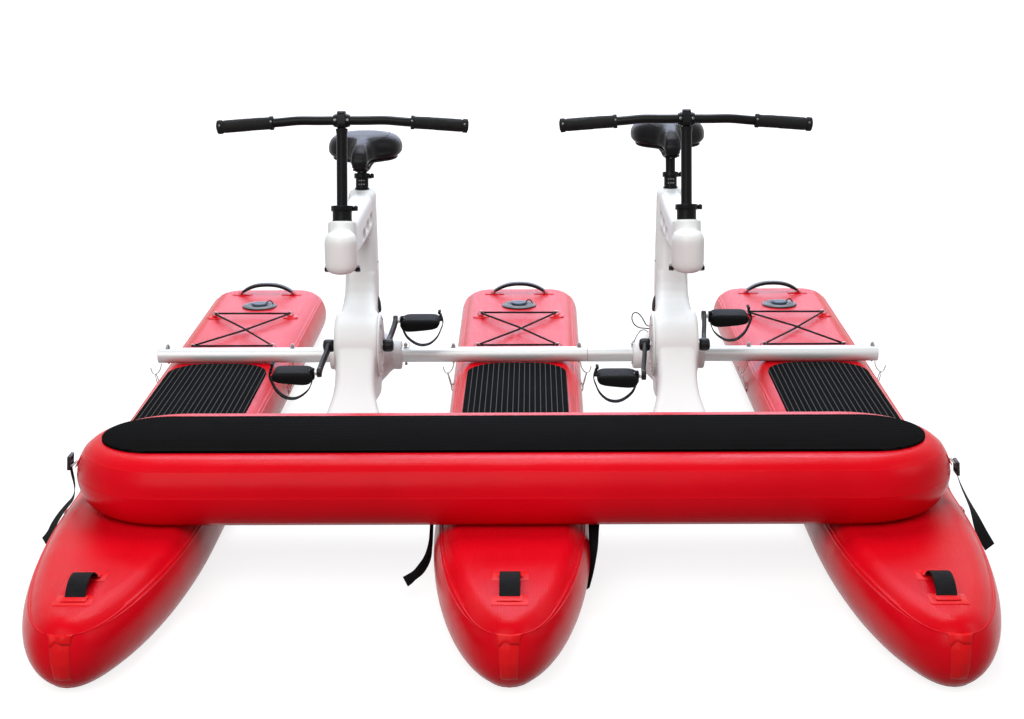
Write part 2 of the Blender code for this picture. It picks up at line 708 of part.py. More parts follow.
def make_frame(name, bike, inner):
    """The white moulded frame: drum, column, beam with its head, foot, and bosses for the tube."""
    bar_axis = (0, HEAD_TOP[0], HEAD_TOP[1])
    lean_head = (-HEAD_LEAN, 0, 0)
    seat_axis = (0, SEAT_TOP[0], SEAT_TOP[1])
    lean_seat = (-SEAT_LEAN, 0, 0)
    crank = (0, *CRANK_AXIS)
    hinge = (0, *HINGE_AXIS)
    half = DRUM_WIDTH / 2
    frame = turned(name, [
        (0, half), (DRUM_RADIUS - DRUM_EDGE, half), (DRUM_RADIUS, half - DRUM_EDGE),
        (DRUM_RADIUS, -half + DRUM_EDGE), (DRUM_RADIUS - DRUM_EDGE, -half), (0, -half),
    ], 20, WHITE_SHELL, bike, crank, along_x())

    def shape(label, mesh, operation):
        combine(frame, place(f"{name}_{label}", mesh, None, bike), operation)

    def round_shape(label, profile, steps, location, rotation, operation):
        combine(frame, turned(f"{name}_{label}", profile, steps, None, bike, location, rotation),
                operation)

    shape("column", loft_mesh("column", column_rings(0.0, COLUMN_FOOT, 0.0)), "UNION")
    shape("beam", loft_mesh("beam", beam_rings(
        0.0, COLUMN_TOP_DEPTH / 4, SEAT_TOP[0] - HEAD_TOP[0])), "UNION")
    shape("foot", loft_mesh("foot", foot_rings(0.0, 1 + FOOT_TOE / foot_axis()[3])), "UNION")
    shape("gusset", loft_mesh("gusset", gusset_rings()), "UNION")
    round_shape("head", rod_profile(HEAD_RADIUS, -HEAD_LENGTH, 0), 16, bar_axis, lean_head, "UNION")
    bulb = [
        (0, BULB_HEIGHT), (BULB_RADIUS * 0.62, BULB_HEIGHT),
        (BULB_RADIUS * 0.88, BULB_HEIGHT * 0.93),
        (BULB_RADIUS, BULB_HEIGHT * 0.80), (BULB_RADIUS, BULB_HEIGHT * 0.27),
        (BULB_RADIUS * 0.88, BULB_HEIGHT * 0.12), (BULB_RADIUS * 0.55, BULB_HEIGHT * 0.025),
        (0, 0),
    ]
    round_shape("bulb", bulb, 16, (0, HEAD_TOP[0] - BULB_FORWARD, BULB_LOW), (0, 0, 0), "UNION")
    round_shape("yoke_space", rod_profile(
        YOKE_SPACE, -HEAD_LENGTH - 0.035, -HEAD_LENGTH + 0.0005), 20, bar_axis, lean_head,
        "DIFFERENCE")
    boss = [
        (0, BOSS_REACH), (BOSS_RADIUS, BOSS_REACH), (BOSS_RADIUS, BOSS_REACH - BOSS_FLANGE),
        (BOSS_RADIUS - FLANGE_STEP, BOSS_REACH - BOSS_FLANGE), (BOSS_ROOT * 0.72, BOSS_NECK),
        (BOSS_ROOT, BOSS_START), (0, BOSS_START),
    ]
    for side, label in ((1, "boss_a"), (-1, "boss_b")):
        round_shape(label, boss, 16, (0, 0, 0), along_x(side), "UNION")

    cavity = half - FRAME_WALL
    round_shape("drum_hollow", rod_profile(DRUM_RADIUS - 0.006, -cavity, cavity), 20, crank,
                along_x(), "DIFFERENCE")
    shape("foot_hollow", loft_mesh("foot_hollow", foot_rings(
        FRAME_WALL, 1.1 + FOOT_TOE / foot_axis()[3])), "DIFFERENCE")
    shape("column_hollow", loft_mesh("column_hollow", column_rings(
        FRAME_WALL, COLUMN_FOOT * 0.84, COLUMN_CROWN)), "DIFFERENCE")
    shape("beam_hollow", loft_mesh("beam_hollow", beam_rings(
        FRAME_WALL, COLUMN_DEPTH / 2, SEAT_TOP[0] - HEAD_TOP[0] - HEAD_RADIUS - FRAME_WALL)),
        "DIFFERENCE")
    slot_top = HINGE_AXIS[1] + LEG_CHORD / 2 + LEG_SLOT_RISE
    slot_front = HINGE_AXIS[0] - LEG_SLOT_FRONT
    slot_length = 2 * BOSS_RADIUS - slot_front
    shape("leg_slot", box_mesh("leg_slot", (LEG_SLOT, slot_length, slot_length), (
        0, slot_front + slot_length / 2, slot_top - slot_length / 2)), "DIFFERENCE")
    round_shape("cover_opening", rod_profile(COVER_OPENING, cavity - 0.010, half + 0.010), 24,
                crank, along_x(inner), "DIFFERENCE")
    round_shape("spindle_bore", rod_profile(
        running(SPINDLE_RADIUS, 16), cavity - 0.010, half + 0.010), 16, crank, along_x(-inner),
        "DIFFERENCE")
    round_shape("tube_bore", rod_profile(tube_radius(-inner) + CLEAR, -0.2, 0.2), TUBE_STEPS,
                (0, 0, 0), along_x(), "DIFFERENCE")
    round_shape("hinge_bore", rod_profile(running(JACKSHAFT_RADIUS, 12), -0.2, 0.2), 12, hinge,
                along_x(), "DIFFERENCE")
    round_shape("steering_bore", rod_profile(running(SHAFT_RADIUS, 16), -0.2, 0.05), 16,
                bar_axis, lean_head, "DIFFERENCE")
    round_shape("seat_bore", rod_profile(SEAT_SLEEVE_RADIUS + CLEAR, -0.08, 0.03), 16,
                seat_axis, lean_seat, "DIFFERENCE")
    for k in range(BEAM_POCKETS):
        centre = SEAT_TOP[0] - POCKET_START - POCKET_PITCH * k
        height = SEAT_TOP[1] - BEAM_ROOT_DROP - 0.004
        for side in (-1, 1):
            x = side * (BEAM_WIDTH / 2)
            pocket = box_mesh("pocket", (2 * POCKET_DEPTH, POCKET_LENGTH, POCKET_HEIGHT),
                              (x, centre, height))
            shape(f"pocket_{k}_{side + 1}", pocket, "DIFFERENCE")
    return frame


def make_side_cover(name, bike, inner):
    face = DRUM_WIDTH / 2 + CLEAR
    hole = running(SPINDLE_RADIUS, 20) + 0.002
    turned(name, [
        (COVER_RADIUS - 0.008, face + COVER_THICKNESS), (COVER_RADIUS, face + 0.002),
        (COVER_RADIUS, face), (hole, face), (hole, face + COVER_THICKNESS),
    ], 20, WHITE_SHELL, bike, (0, *CRANK_AXIS), along_x(inner), True)


def make_lever(name, parent, collar_radius, height):
    """A cam lever that lies round its collar and swings out about an upright pin."""
    reach = collar_radius + LEVER_PIVOT_RADIUS + CLEAR
    lever = turned(name, rod_profile(LEVER_PIVOT_RADIUS, -LEVER_HEIGHT / 2, LEVER_HEIGHT / 2), 10,
                   BLACK_METAL, parent, (reach, 0, height))
    rings = []
    steps = 5
    turn = LEVER_LENGTH / reach
    for k in range(steps + 1):
        angle = turn * k / steps
        radius = reach + 0.002 + 0.004 * k / steps
        thickness = LEVER_THICKNESS * (1 - 0.3 * k / steps)
        ring = []
        for across, up in rounded_section(thickness, LEVER_HEIGHT * 0.8, 0.0012, 1):
            local = radius + across
            ring.append((local * math.cos(angle) - reach, local * math.sin(angle), up))
        rings.append(ring)
    arm = place(name + "_arm", loft_mesh(name + "_arm", rings), None, parent,
                (reach, 0, height))
    combine(lever, arm, "UNION")


def make_steering(prefix, bike):
    head = bpy.data.objects.new(f"{prefix}_steering_axis", None)
    PARTS.objects.link(head)
    head.parent = bike
    head.location = (0, *HEAD_TOP)
    head.rotation_euler = (-HEAD_LEAN, 0, 0)
    bore = POST_RADIUS + CLEAR
    low = -HEAD_LENGTH - CLEAR - YOKE_THICKNESS
    clamp_low = SLEEVE_HEIGHT - SLEEVE_CLAMP_HEIGHT
    shaft = turned(f"{prefix}_steering_shaft", [
        (SLEEVE_CLAMP_RADIUS, SLEEVE_HEIGHT), (SLEEVE_CLAMP_RADIUS, clamp_low),
        (SLEEVE_RADIUS, clamp_low), (SLEEVE_RADIUS, CLEAR), (SHAFT_RADIUS, CLEAR),
        (SHAFT_RADIUS, low), (bore, low), (bore, SLEEVE_HEIGHT),
    ], 16, BLACK_METAL, head, closed=True)
    yoke = place(f"{prefix}_yoke", box_mesh(
        "yoke", (YOKE_WIDTH, YOKE_DEPTH, YOKE_THICKNESS), (0, 0, low + YOKE_THICKNESS / 2),
        0.003), None, head)
    combine(shaft, yoke, "UNION")
    passage = turned(f"{prefix}_yoke_passage", rod_profile(bore, low - 0.01, 0), 16, None, head)
    combine(shaft, passage, "DIFFERENCE")
    make_lever(f"{prefix}_bar_lever", head, SLEEVE_CLAMP_RADIUS, SLEEVE_HEIGHT
               - SLEEVE_CLAMP_HEIGHT / 2)
    post = turned(f"{prefix}_bar_post", rod_profile(
        POST_RADIUS, -POST_IN_HEAD, POST_REACH - BAR_RADIUS), 16, BLACK_METAL, head)
    stem = turned(f"{prefix}_stem", rod_profile(STEM_RADIUS, -STEM_WIDTH / 2, STEM_WIDTH / 2),
                  16, None, head, (0, 0, POST_REACH), along_x())
    seat = turned(f"{prefix}_stem_bore", rod_profile(BAR_RADIUS + CLEAR, -0.05, 0.05), 12, None,
                  head, (0, 0, POST_REACH), along_x())
    combine(post, stem, "UNION")
    combine(post, seat, "DIFFERENCE")
    make_handlebar(prefix, head)


def make_handlebar(prefix, head):
    """One bar with the grips moulded on, drooping and swept back towards its ends."""
    half = BAR_LENGTH / 2
    rings = []
    straight = STEM_WIDTH / 2 + 0.004
    grip_start = half - GRIP_LENGTH
    stations = (
        (straight, BAR_RADIUS), (grip_start * 0.6, BAR_RADIUS), (grip_start, BAR_RADIUS),
        (grip_start + 0.0005, GRIP_RADIUS), (half - 0.004, GRIP_RADIUS),
        (half, GRIP_RADIUS - 0.003),
    )
    signed = [(-x, r) for x, r in reversed(stations)] + list(stations)
    for x, radius in signed:
        share = max(abs(x) - straight, 0.0) / (half - straight)
        y = BAR_SWEEP * share ** 1.6
        z = POST_REACH - BAR_DROP * share ** 1.6
        rings.append([
            (x, y + radius * math.cos(math.tau * k / 12), z + radius * math.sin(math.tau * k / 12))
            for k in range(12)
        ])
    place(f"{prefix}_handlebar", loft_mesh("handlebar", rings), BLACK_METAL, head)


def make_seat(prefix, bike, height):
    axis = bpy.data.objects.new(f"{prefix}_seat_axis", None)
    PARTS.objects.link(axis)
    axis.parent = bike
    axis.location = (0, *SEAT_TOP)
    axis.rotation_euler = (-SEAT_LEAN, 0, 0)
    bore = SEAT_POST_RADIUS + CLEAR
    clamp_low = SEAT_SLEEVE_RISE - SEAT_CLAMP_HEIGHT
    turned(f"{prefix}_seat_sleeve", [
        (SEAT_CLAMP_RADIUS, SEAT_SLEEVE_RISE), (SEAT_CLAMP_RADIUS, clamp_low),
        (SEAT_SLEEVE_RADIUS, clamp_low), (SEAT_SLEEVE_RADIUS, -SEAT_SLEEVE_DEPTH),
        (bore, -SEAT_SLEEVE_DEPTH), (bore, SEAT_SLEEVE_RISE),
    ], 16, BLACK_METAL, axis, closed=True)
    make_lever(f"{prefix}_seat_lever", axis, SEAT_CLAMP_RADIUS,
               SEAT_SLEEVE_RISE - SEAT_CLAMP_HEIGHT / 2)
    post_top = height - SEAT_POST_RADIUS * math.tan(SEAT_LEAN) - CLEAR
    post = turned(f"{prefix}_seat_post", rod_profile(
        SEAT_POST_RADIUS, -SEAT_POST_IN_FRAME, post_top), 16, BLACK_METAL, axis)
    clamp = place(f"{prefix}_saddle_clamp", box_mesh(
        "clamp", (0.040, 0.060, 0.012), (0, 0, -0.006), 0.003), None, axis, (0, 0, height),
        (SEAT_LEAN, 0, 0))
    combine(post, clamp, "UNION")
    saddle = place(f"{prefix}_saddle", saddle_mesh(), SADDLE_COVER, axis, (0, 0, height),
                   (SEAT_LEAN, 0, 0))
    soften = saddle.modifiers.new("soften", "SUBSURF")
    soften.levels = 1
    soften.render_levels = 1


def saddle_mesh():
    """Coarse cage of a broad comfort saddle, crowned, with a shallow channel down its middle."""
    rings = []
    nose = SADDLE_BACK - SADDLE_LENGTH / 2
    base = CLEAR
    for share, width, lift in (
        (0.00, 0.20, 0.66), (0.12, 0.26, 0.84), (0.38, 0.40, 0.88), (0.62, 0.92, 0.96),
        (0.86, 1.06, 1.08), (1.00, 0.90, 1.00),
    ):
        half = SADDLE_WIDTH / 2 * width
        top = SADDLE_THICKNESS * lift
        y = nose + SADDLE_LENGTH * share
        rings.append([
            (x * half, y, base + z * top)
            for x, z in ((-0.70, 0.0), (0.70, 0.0), (1.03, 0.06), (1.03, 0.70), (0.55, 1.06),
                         (0.0, 1.00), (-0.55, 1.06), (-1.03, 0.70), (-1.03, 0.06))
        ])
    return loft_mesh("saddle", rings)


def crank_arm(name, parent, inner, along):
    """The arm between the crank's boss and its eye; along is its direction in the bike's plane."""
    direction = Vector((0, along[0], along[1]))
    across = Vector((0, -along[1], along[0]))
    boss_x = CRANK_INNER_FACE + CRANK_BOSS_WIDTH / 2
    rings = []
    for share, width, shift in ((0.0, 1.25, 0.0), (0.22, 1.0, 0.10), (0.62, 0.82, 0.85),
                                (1.0, 0.95, 1.0)):
        middle = direction * (CRANK_LENGTH * share)
        x = boss_x + CRANK_OFFSET * shift
        rings.append([
            Vector((inner * (x + side), 0, 0)) + middle + across * up
            for side, up in rounded_section(CRANK_THICKNESS * 0.9, CRANK_WIDTH * width, 0.004, 1)
        ])
    return place(name, loft_mesh(name, rings), None, parent)


def make_crank(name, bike, inner, along, carries_spindle):
    """A crank turned about the spindle, with the pedal's axle; one of the two carries the spindle."""
    face = CRANK_INNER_FACE
    if carries_spindle:
        pulley = (BELT_OFFSET - PULLEY_WIDTH / 2, BELT_OFFSET + PULLEY_WIDTH / 2)
        profile = [
            (0, CRANK_BOSS_END), (CRANK_BOSS_RADIUS, CRANK_BOSS_END), (CRANK_BOSS_RADIUS, face),
            (SPINDLE_RADIUS, face), (SPINDLE_RADIUS, pulley[1]), (UPPER_PULLEY_RADIUS, pulley[1]),
            (UPPER_PULLEY_RADIUS, pulley[0]), (SPINDLE_RADIUS, pulley[0]),
            (SPINDLE_RADIUS, -face - 0.018), (0, -face - 0.018),
        ]
    else:
        profile = rod_profile(CRANK_BOSS_RADIUS, face, CRANK_BOSS_END)
    crank = turned(name, profile, PULLEY_STEPS, BLACK_METAL, bike, (0, *CRANK_AXIS),
                   along_x(inner))
    axis = (0, *CRANK_AXIS)
    arm = crank_arm(name + "_arm", bike, inner, along)
    arm.location = axis
    combine(crank, arm, "UNION")
    eye_low = EYE_X - CRANK_THICKNESS / 2
    eye_high = EYE_X + CRANK_THICKNESS / 2
    place_eye = (0, CRANK_AXIS[0] + CRANK_LENGTH * along[0], CRANK_AXIS[1] + CRANK_LENGTH * along[1])
    eye = turned(name + "_eye", [
        (0, eye_high + PEDAL_AXLE_LENGTH), (PEDAL_AXLE_RADIUS, eye_high + PEDAL_AXLE_LENGTH),
        (PEDAL_AXLE_RADIUS, eye_high), (0.0135, eye_high), (0.0135, eye_low), (0, eye_low),
    ], 12, None, bike, place_eye, along_x(inner))
    combine(crank, eye, "UNION")
    if not carries_spindle:
        keep = turned(name + "_socket", rod_profile(
            SPINDLE_RADIUS + CLEAR, face - 0.01, face + 0.018 + CLEAR), PULLEY_STEPS, None, bike,
            axis, along_x(inner))
        combine(crank, keep, "DIFFERENCE")
    return place_eye


def make_pedal(name, bike, inner, place_eye):
    centre = inner * PEDAL_X
    body = place(name, box_mesh("pedal", (PEDAL_WIDTH, PEDAL_DEPTH, PEDAL_THICKNESS),
                                (centre, 0, 0), 0.006), BLACK_PLASTIC, bike, place_eye)
    rings = []
    steps = 8
    half = PEDAL_WIDTH / 2 - 0.008
    for k in range(steps + 1):
        angle = math.pi * k / steps
        middle = Vector((centre + half * math.cos(angle) * (1 - 0.12 * math.sin(angle)), 0,
                         -STRAP_DROP * math.sin(angle) ** 0.7 - PEDAL_THICKNESS / 2 + 0.004))
        outward = Vector((math.cos(angle), 0, -math.sin(angle)))
        ring = []
        for thick, wide in ((-0.5, -0.5), (0.5, -0.5), (0.5, 0.5), (-0.5, 0.5)):
            point = middle + outward * (thick * STRAP_THICKNESS)
            ring.append((point.x, wide * STRAP_WIDTH, point.z))
        rings.append(ring)
    strap = place(name + "_strap", loft_mesh(name + "_strap", rings), None, bike, place_eye)
    combine(body, strap, "UNION")
    bore = turned(name + "_bore", rod_profile(
        running(PEDAL_AXLE_RADIUS, 12), EYE_X, EYE_X + CRANK_THICKNESS / 2 + PEDAL_AXLE_LENGTH
        + CLEAR), 12, None, bike, place_eye, along_x(inner))
    combine(body, bore, "DIFFERENCE")


def belt_loop(extra, steps):
    """The outline of a loop round both pulleys, from the crank's axis, as (Y, Z)."""
    start, down, _, reach = foot_axis()
    upper = UPPER_PULLEY_RADIUS / math.cos(math.pi / PULLEY_STEPS) + CLEAR + extra
    lower = LOWER_PULLEY_RADIUS / math.cos(math.pi / PULLEY_STEPS) + CLEAR + extra
    heading = math.atan2(down.y, down.x)
    contact = math.pi / 2 - math.asin((upper - lower) / reach)
    big = arc((0, 0), upper, heading + contact, math.tau - 2 * contact, steps)
    small = arc(tuple(down * reach), lower, heading - contact, 2 * contact, steps // 2)
    return big + small


def make_belt_drive(prefix, bike, inner):
    belt = [belt_loop(BELT_THICKNESS, 16), belt_loop(0.0, 16)]
    loop = plate(f"{prefix}_drive_belt", belt, BELT_WIDTH, BELT_RUBBER, bike,
                 (inner * BELT_OFFSET, *CRANK_AXIS))
    loop.rotation_euler = (math.pi / 2, 0, math.pi / 2)
    reach = foot_width(1.0) / 2
    low, high = BELT_OFFSET - PULLEY_WIDTH / 2, BELT_OFFSET + PULLEY_WIDTH / 2
    turned(f"{prefix}_lower_pulley", [
        (0, reach), (JACKSHAFT_RADIUS, reach), (JACKSHAFT_RADIUS, high),
        (LOWER_PULLEY_RADIUS, high), (LOWER_PULLEY_RADIUS, low), (JACKSHAFT_RADIUS, low),
        (JACKSHAFT_RADIUS, -reach), (0, -reach),
    ], PULLEY_STEPS, BLACK_METAL, bike, (0, *HINGE_AXIS), along_x(inner))


def make_leg(prefix, bike):
    """Kick-up drive leg, stowed level: it swings down about the jackshaft."""
    hinge = (0, *HINGE_AXIS)
    half = LEG_HUB_WIDTH / 2
    leg = turned(f"{prefix}_drive_leg", ring_profile(
        LEG_HUB_RADIUS, running(JACKSHAFT_RADIUS, PULLEY_STEPS), -half, half), PULLEY_STEPS,
        WHITE_SHELL, bike, hinge, along_x(), True)
    rings = []
    for y, chord, width in ((LEG_HUB_RADIUS * 0.7, 0.048, 1.0), (0.070, LEG_CHORD, 1.0),
                            (LEG_LENGTH, LEG_CHORD * 0.85, 0.9)):
        rings.append([
            (across, y, up)
            for across, up in rounded_section(LEG_WIDTH * width, chord, 0.012, 2)
        ])
    strut = place(f"{prefix}_leg_strut", loft_mesh("strut", rings), None, bike, hinge)
    combine(leg, strut, "UNION")
    pod_place = (0, HINGE_AXIS[0] + LEG_LENGTH, HINGE_AXIS[1])
    pod = turned(f"{prefix}_leg_pod", [
        (0, POD_BACK), (POD_RADIUS * 0.5, POD_BACK - 0.004), (POD_RADIUS * 0.9, POD_BACK * 0.4),
        (POD_RADIUS, -0.005), (POD_RADIUS, -POD_NOSE + 0.006), (POD_RADIUS * 0.8, -POD_NOSE),
        (PROPELLER_SHAFT_RADIUS, -POD_NOSE),
        (PROPELLER_SHAFT_RADIUS, -POD_NOSE - PROPELLER_HUB_LENGTH * 0.6),
        (0, -POD_NOSE - PROPELLER_HUB_LENGTH * 0.6),
    ], 16, None, bike, pod_place)
    combine(leg, pod, "UNION")
    pin = turned(f"{prefix}_rudder_pin", rod_profile(
        RUDDER_PIN_RADIUS, 0, POD_RADIUS + RUDDER_PIN_LENGTH), 12, None, bike, pod_place,
        (-math.pi / 2, 0, 0))
    combine(leg, pin, "UNION")
    make_propeller(prefix, bike, pod_place)
    make_rudder(prefix, bike, pod_place)


def make_propeller(prefix, bike, pod_place):
    top = -POD_NOSE - CLEAR
    bore = running(PROPELLER_SHAFT_RADIUS, 16)
    bore_end = top - PROPELLER_HUB_LENGTH * 0.6 - CLEAR
    propeller = turned(f"{prefix}_propeller", [
        (0, bore_end), (bore, bore_end), (bore, top), (PROPELLER_HUB_RADIUS, top),
        (PROPELLER_HUB_RADIUS, top - PROPELLER_HUB_LENGTH * 0.7),
        (PROPELLER_HUB_RADIUS * 0.6, top - PROPELLER_HUB_LENGTH), (0, top - PROPELLER_HUB_LENGTH),
    ], 16, GREY_PLASTIC, bike, pod_place)
    middle = top - PROPELLER_HUB_LENGTH / 2
    for side in (1, -1):
        rings = []
        for share, chord in ((0.0, 0.6), (0.35, 0.95), (0.70, 1.0), (1.0, 0.45)):
            radius = PROPELLER_RADIUS * share + PROPELLER_HUB_RADIUS * 0.6 * (1 - share)
            pitch = math.atan(0.045 / max(radius, 0.03))
            ring = []
            for along, thick in ((-0.5, 0), (-0.2, -0.5), (0.3, -0.4), (0.5, 0), (0.3, 0.4),
                                 (-0.2, 0.5)):
                a = along * chord * BLADE_CHORD
                b = thick * BLADE_THICKNESS * (1.2 - 0.6 * share)
                ring.append((
                    side * (a * math.cos(pitch) - b * math.sin(pitch)),
                    side * radius,
                    middle + a * math.sin(pitch) + b * math.cos(pitch),
                ))
            rings.append(ring)
        blade = place(f"{prefix}_blade_{side + 1}", loft_mesh("blade", rings), None, bike,
                      pod_place)
        combine(propeller, blade, "UNION")


def make_rudder(prefix, bike, pod_place):
    start = POD_RADIUS + CLEAR + 0.001
    socket = POD_RADIUS + RUDDER_PIN_LENGTH + CLEAR
    hub_radius = RUDDER_PIN_RADIUS + 0.004
    rudder = turned(f"{prefix}_rudder", rod_profile(hub_radius, start, socket + 0.008), 12,
                    WHITE_SHELL, bike, pod_place, (-math.pi / 2, 0, 0))
    rings = []
    for share, chord in ((0.0, 0.75), (0.35, 1.0), (1.0, 0.7)):
        y = start + 0.002 + RUDDER_SPAN * share
        rings.append([
            (across, y, up - 0.006)
            for across, up in rounded_section(RUDDER_THICKNESS, RUDDER_CHORD * chord, 0.0035, 1)
        ])
    blade = place(f"{prefix}_rudder_blade", loft_mesh("rudder_blade", rings), None, bike,
                  pod_place)
    combine(rudder, blade, "UNION")
    bore = turned(f"{prefix}_rudder_bore", rod_profile(
        running(RUDDER_PIN_RADIUS, 12), 0, socket), 12, None, bike, pod_place,
        (-math.pi / 2, 0, 0))
    combine(rudder, bore, "DIFFERENCE")


def make_bike(prefix, side, dip, seat_height):
    inner = -side
    bike = bpy.data.objects.new(prefix, None)
    PARTS.objects.link(bike)
    bike.location = (side * BIKE_SPACING / 2, TUBE_Y, TUBE_Z)
    make_frame(f"{prefix}_frame", bike, inner)
    make_side_cover(f"{prefix}_side_cover", bike, inner)
    make_steering(prefix, bike)
    make_seat(prefix, bike, seat_height)
    for label, hand, carries in (("inner", inner, True), ("outer", -inner, False)):
        along = (hand * math.cos(dip), hand * math.sin(dip))
        eye = make_crank(f"{prefix}_crank_{label}", bike, hand, along, carries)
        make_pedal(f"{prefix}_pedal_{label}", bike, hand, eye)
    make_belt_drive(prefix, bike, inner)
    make_leg(prefix, bike)


for side_name, side in (("left", -1), ("middle", 0), ("right", 1)):
    make_float(side_name, side * FLOAT_SPACING)
make_deck()
make_cross_tube()
make_bike("left_bike", -1, CRANK_DIP_LEFT, SEAT_HEIGHT_LEFT)
make_bike("right_bike", 1, CRANK_DIP_RIGHT, SEAT_HEIGHT_RIGHT)
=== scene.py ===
import math

import bmesh
import bpy
from mathutils import Matrix, Vector


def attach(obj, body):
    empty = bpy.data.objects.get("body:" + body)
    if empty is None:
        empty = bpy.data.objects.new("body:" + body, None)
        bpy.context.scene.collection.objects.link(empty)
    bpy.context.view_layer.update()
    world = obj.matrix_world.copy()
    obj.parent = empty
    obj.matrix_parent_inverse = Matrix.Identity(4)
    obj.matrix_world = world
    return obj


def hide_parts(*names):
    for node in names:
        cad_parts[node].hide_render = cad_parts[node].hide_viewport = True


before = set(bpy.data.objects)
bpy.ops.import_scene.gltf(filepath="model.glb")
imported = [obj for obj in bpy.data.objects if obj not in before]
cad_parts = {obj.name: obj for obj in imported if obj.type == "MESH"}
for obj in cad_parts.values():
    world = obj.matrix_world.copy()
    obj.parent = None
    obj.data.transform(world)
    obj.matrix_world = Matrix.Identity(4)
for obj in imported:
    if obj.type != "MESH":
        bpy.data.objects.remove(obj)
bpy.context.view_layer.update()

# ---------------------------------------------------------------- the camera
# The picture is taken from a little above the handlebars, straight ahead of the
# bows, with a long lens that looks down at about fifteen degrees.
DOWN, ASIDE, LEAN = math.radians(15.1), math.radians(0.74), math.radians(-0.4)
ahead = Vector((-math.sin(ASIDE) * math.cos(DOWN), math.cos(ASIDE) * math.cos(DOWN), -math.sin(DOWN)))
level = Vector((math.cos(ASIDE), math.sin(ASIDE), 0))
across = level * math.cos(LEAN) + level.cross(ahead) * math.sin(LEAN)
upward = across.cross(ahead)
camera = bpy.data.objects.new("camera", bpy.data.cameras.new("camera"))
bpy.context.scene.collection.objects.link(camera)
turned_to = Matrix((across, upward, -ahead)).transposed().to_4x4()
camera.matrix_world = Matrix.Translation((0.05, -4.577, 1.514)) @ turned_to
camera.data.sensor_width = 36
camera.data.lens = 63.28
camera.data.clip_end = 200
bpy.context.scene.camera = camera

# ---------------------------------------------------------------- black cords
# A thin woven cord with a rubbery finish. On the right bike a loop of it hangs from
# the rear edge of the drum, and a short lanyard runs from the drum to the tube's pin.


def feed(tree, made, *values, **named):
    """Sets a node's inputs, in order or by name, to values or to other nodes' outputs."""
    for key, value in [*enumerate(values), *named.items()]:
        socket = made.inputs[key if isinstance(key, int) else key.replace("_", " ")]
        if isinstance(value, bpy.types.NodeSocket):
            tree.links.new(value, socket)
        else:
            socket.default_value = value
    return made


def node(tree, kind, *values, operation=None, **named):
    made = tree.nodes.new("ShaderNode" + kind)
    if operation:
        made.operation = operation
    return feed(tree, made, *values, **named)


def finish(name, colour, shade, gloss, blotch=6.0, grain=900.0, depth=0.0002, metal=0.0, weave=0.0,
        stretch=(1, 1, 1), mirror=0.5, marks=None, flat=False, ripple=0.0):
    """A material whose colour and gloss drift a little, with a fine grain or weave in its surface, and
    worn marks in another colour. A flat weave shows only where the surface is level."""
    material = bpy.data.materials.new(name)
    material.use_nodes = True
    tree = material.node_tree
    place = node(tree, "TexCoord").outputs["Object"]
    drawn = node(tree, "Mapping", Vector=place, Scale=stretch).outputs["Vector"]
    drift = node(tree, "TexNoise", Vector=drawn, Scale=blotch, Detail=6.0).outputs["Fac"]
    tone = node(tree, "ValToRGB", Fac=drift)
    tone.name = "tone"
    for stop, position, shown in zip(tone.color_ramp.elements, (0.3, 0.68), (shade, colour)):
        stop.position = position
        stop.color = (*shown, 1)
    paint = tone.outputs["Color"]
    if marks:
        scuff = node(tree, "TexNoise", Vector=drawn, Scale=34.0, Detail=9.0, Roughness=0.68).outputs["Fac"]
        worn = node(tree, "MapRange", Value=scuff, From_Min=0.655, From_Max=0.735).outputs["Result"]
        paint = node(tree, "MixRGB", Fac=worn, Color1=paint, Color2=(*marks, 1)).outputs["Color"]
    polish = node(tree, "MapRange", Value=drift, To_Min=gloss[0], To_Max=gloss[1]).outputs["Result"]
    height = node(tree, "TexNoise", Vector=drawn, Scale=grain, Detail=3.0).outputs["Fac"]
    if weave:
        facing = node(tree, "SeparateXYZ", node(tree, "NewGeometry").outputs["Normal"]).outputs["Z"]
        upright = node(tree, "Math", facing, 6.0, operation="POWER").outputs[0]
        for direction in "XY" if flat else "XYZ":
            rib = node(tree, "TexWave", Vector=place, Scale=0.314 / weave)
            rib.bands_direction = direction
            height = node(tree, "Math", rib.outputs["Fac"], upright if flat else 1.0, height,
                operation="MULTIPLY_ADD").outputs[0]
    bump = node(tree, "Bump", Distance=depth, Height=height)
    bump.name = "surface"
    if ripple:
        slow = node(tree, "TexNoise", Vector=drawn, Scale=8.0, Detail=1.5).outputs["Fac"]
        feed(tree, bump, Normal=node(tree, "Bump", Distance=ripple, Height=slow).outputs["Normal"])
    feed(tree, tree.nodes["Principled BSDF"], Metallic=metal, Specular_IOR_Level=mirror, Base_Color=paint,
        Roughness=polish, Normal=bump.outputs["Normal"])
    return material


def keep(piece, body, slot, *nodes):
    """The piece rides on its body and stands for the CAD solids, which it hides. The slot is not used."""
    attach(piece, body)
    if nodes:
        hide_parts(*nodes)
    return piece


def eased(points, per=6):
    """A smooth line through the points."""
    ends = [points[0]] + list(points) + [points[-1]]
    line = []
    for a, b, c, d in zip(ends, ends[1:], ends[2:], ends[3:]):
        a, b, c, d = map(Vector, (a, b, c, d))
        for k in range(per):
            t = k / per
            line.append(0.5 * (2 * b + (c - a) * t + (2 * a - 5 * b + 4 * c - d) * t * t
                + (3 * b - a - 3 * c + d) * t ** 3))
    return line + [Vector(points[-1])]


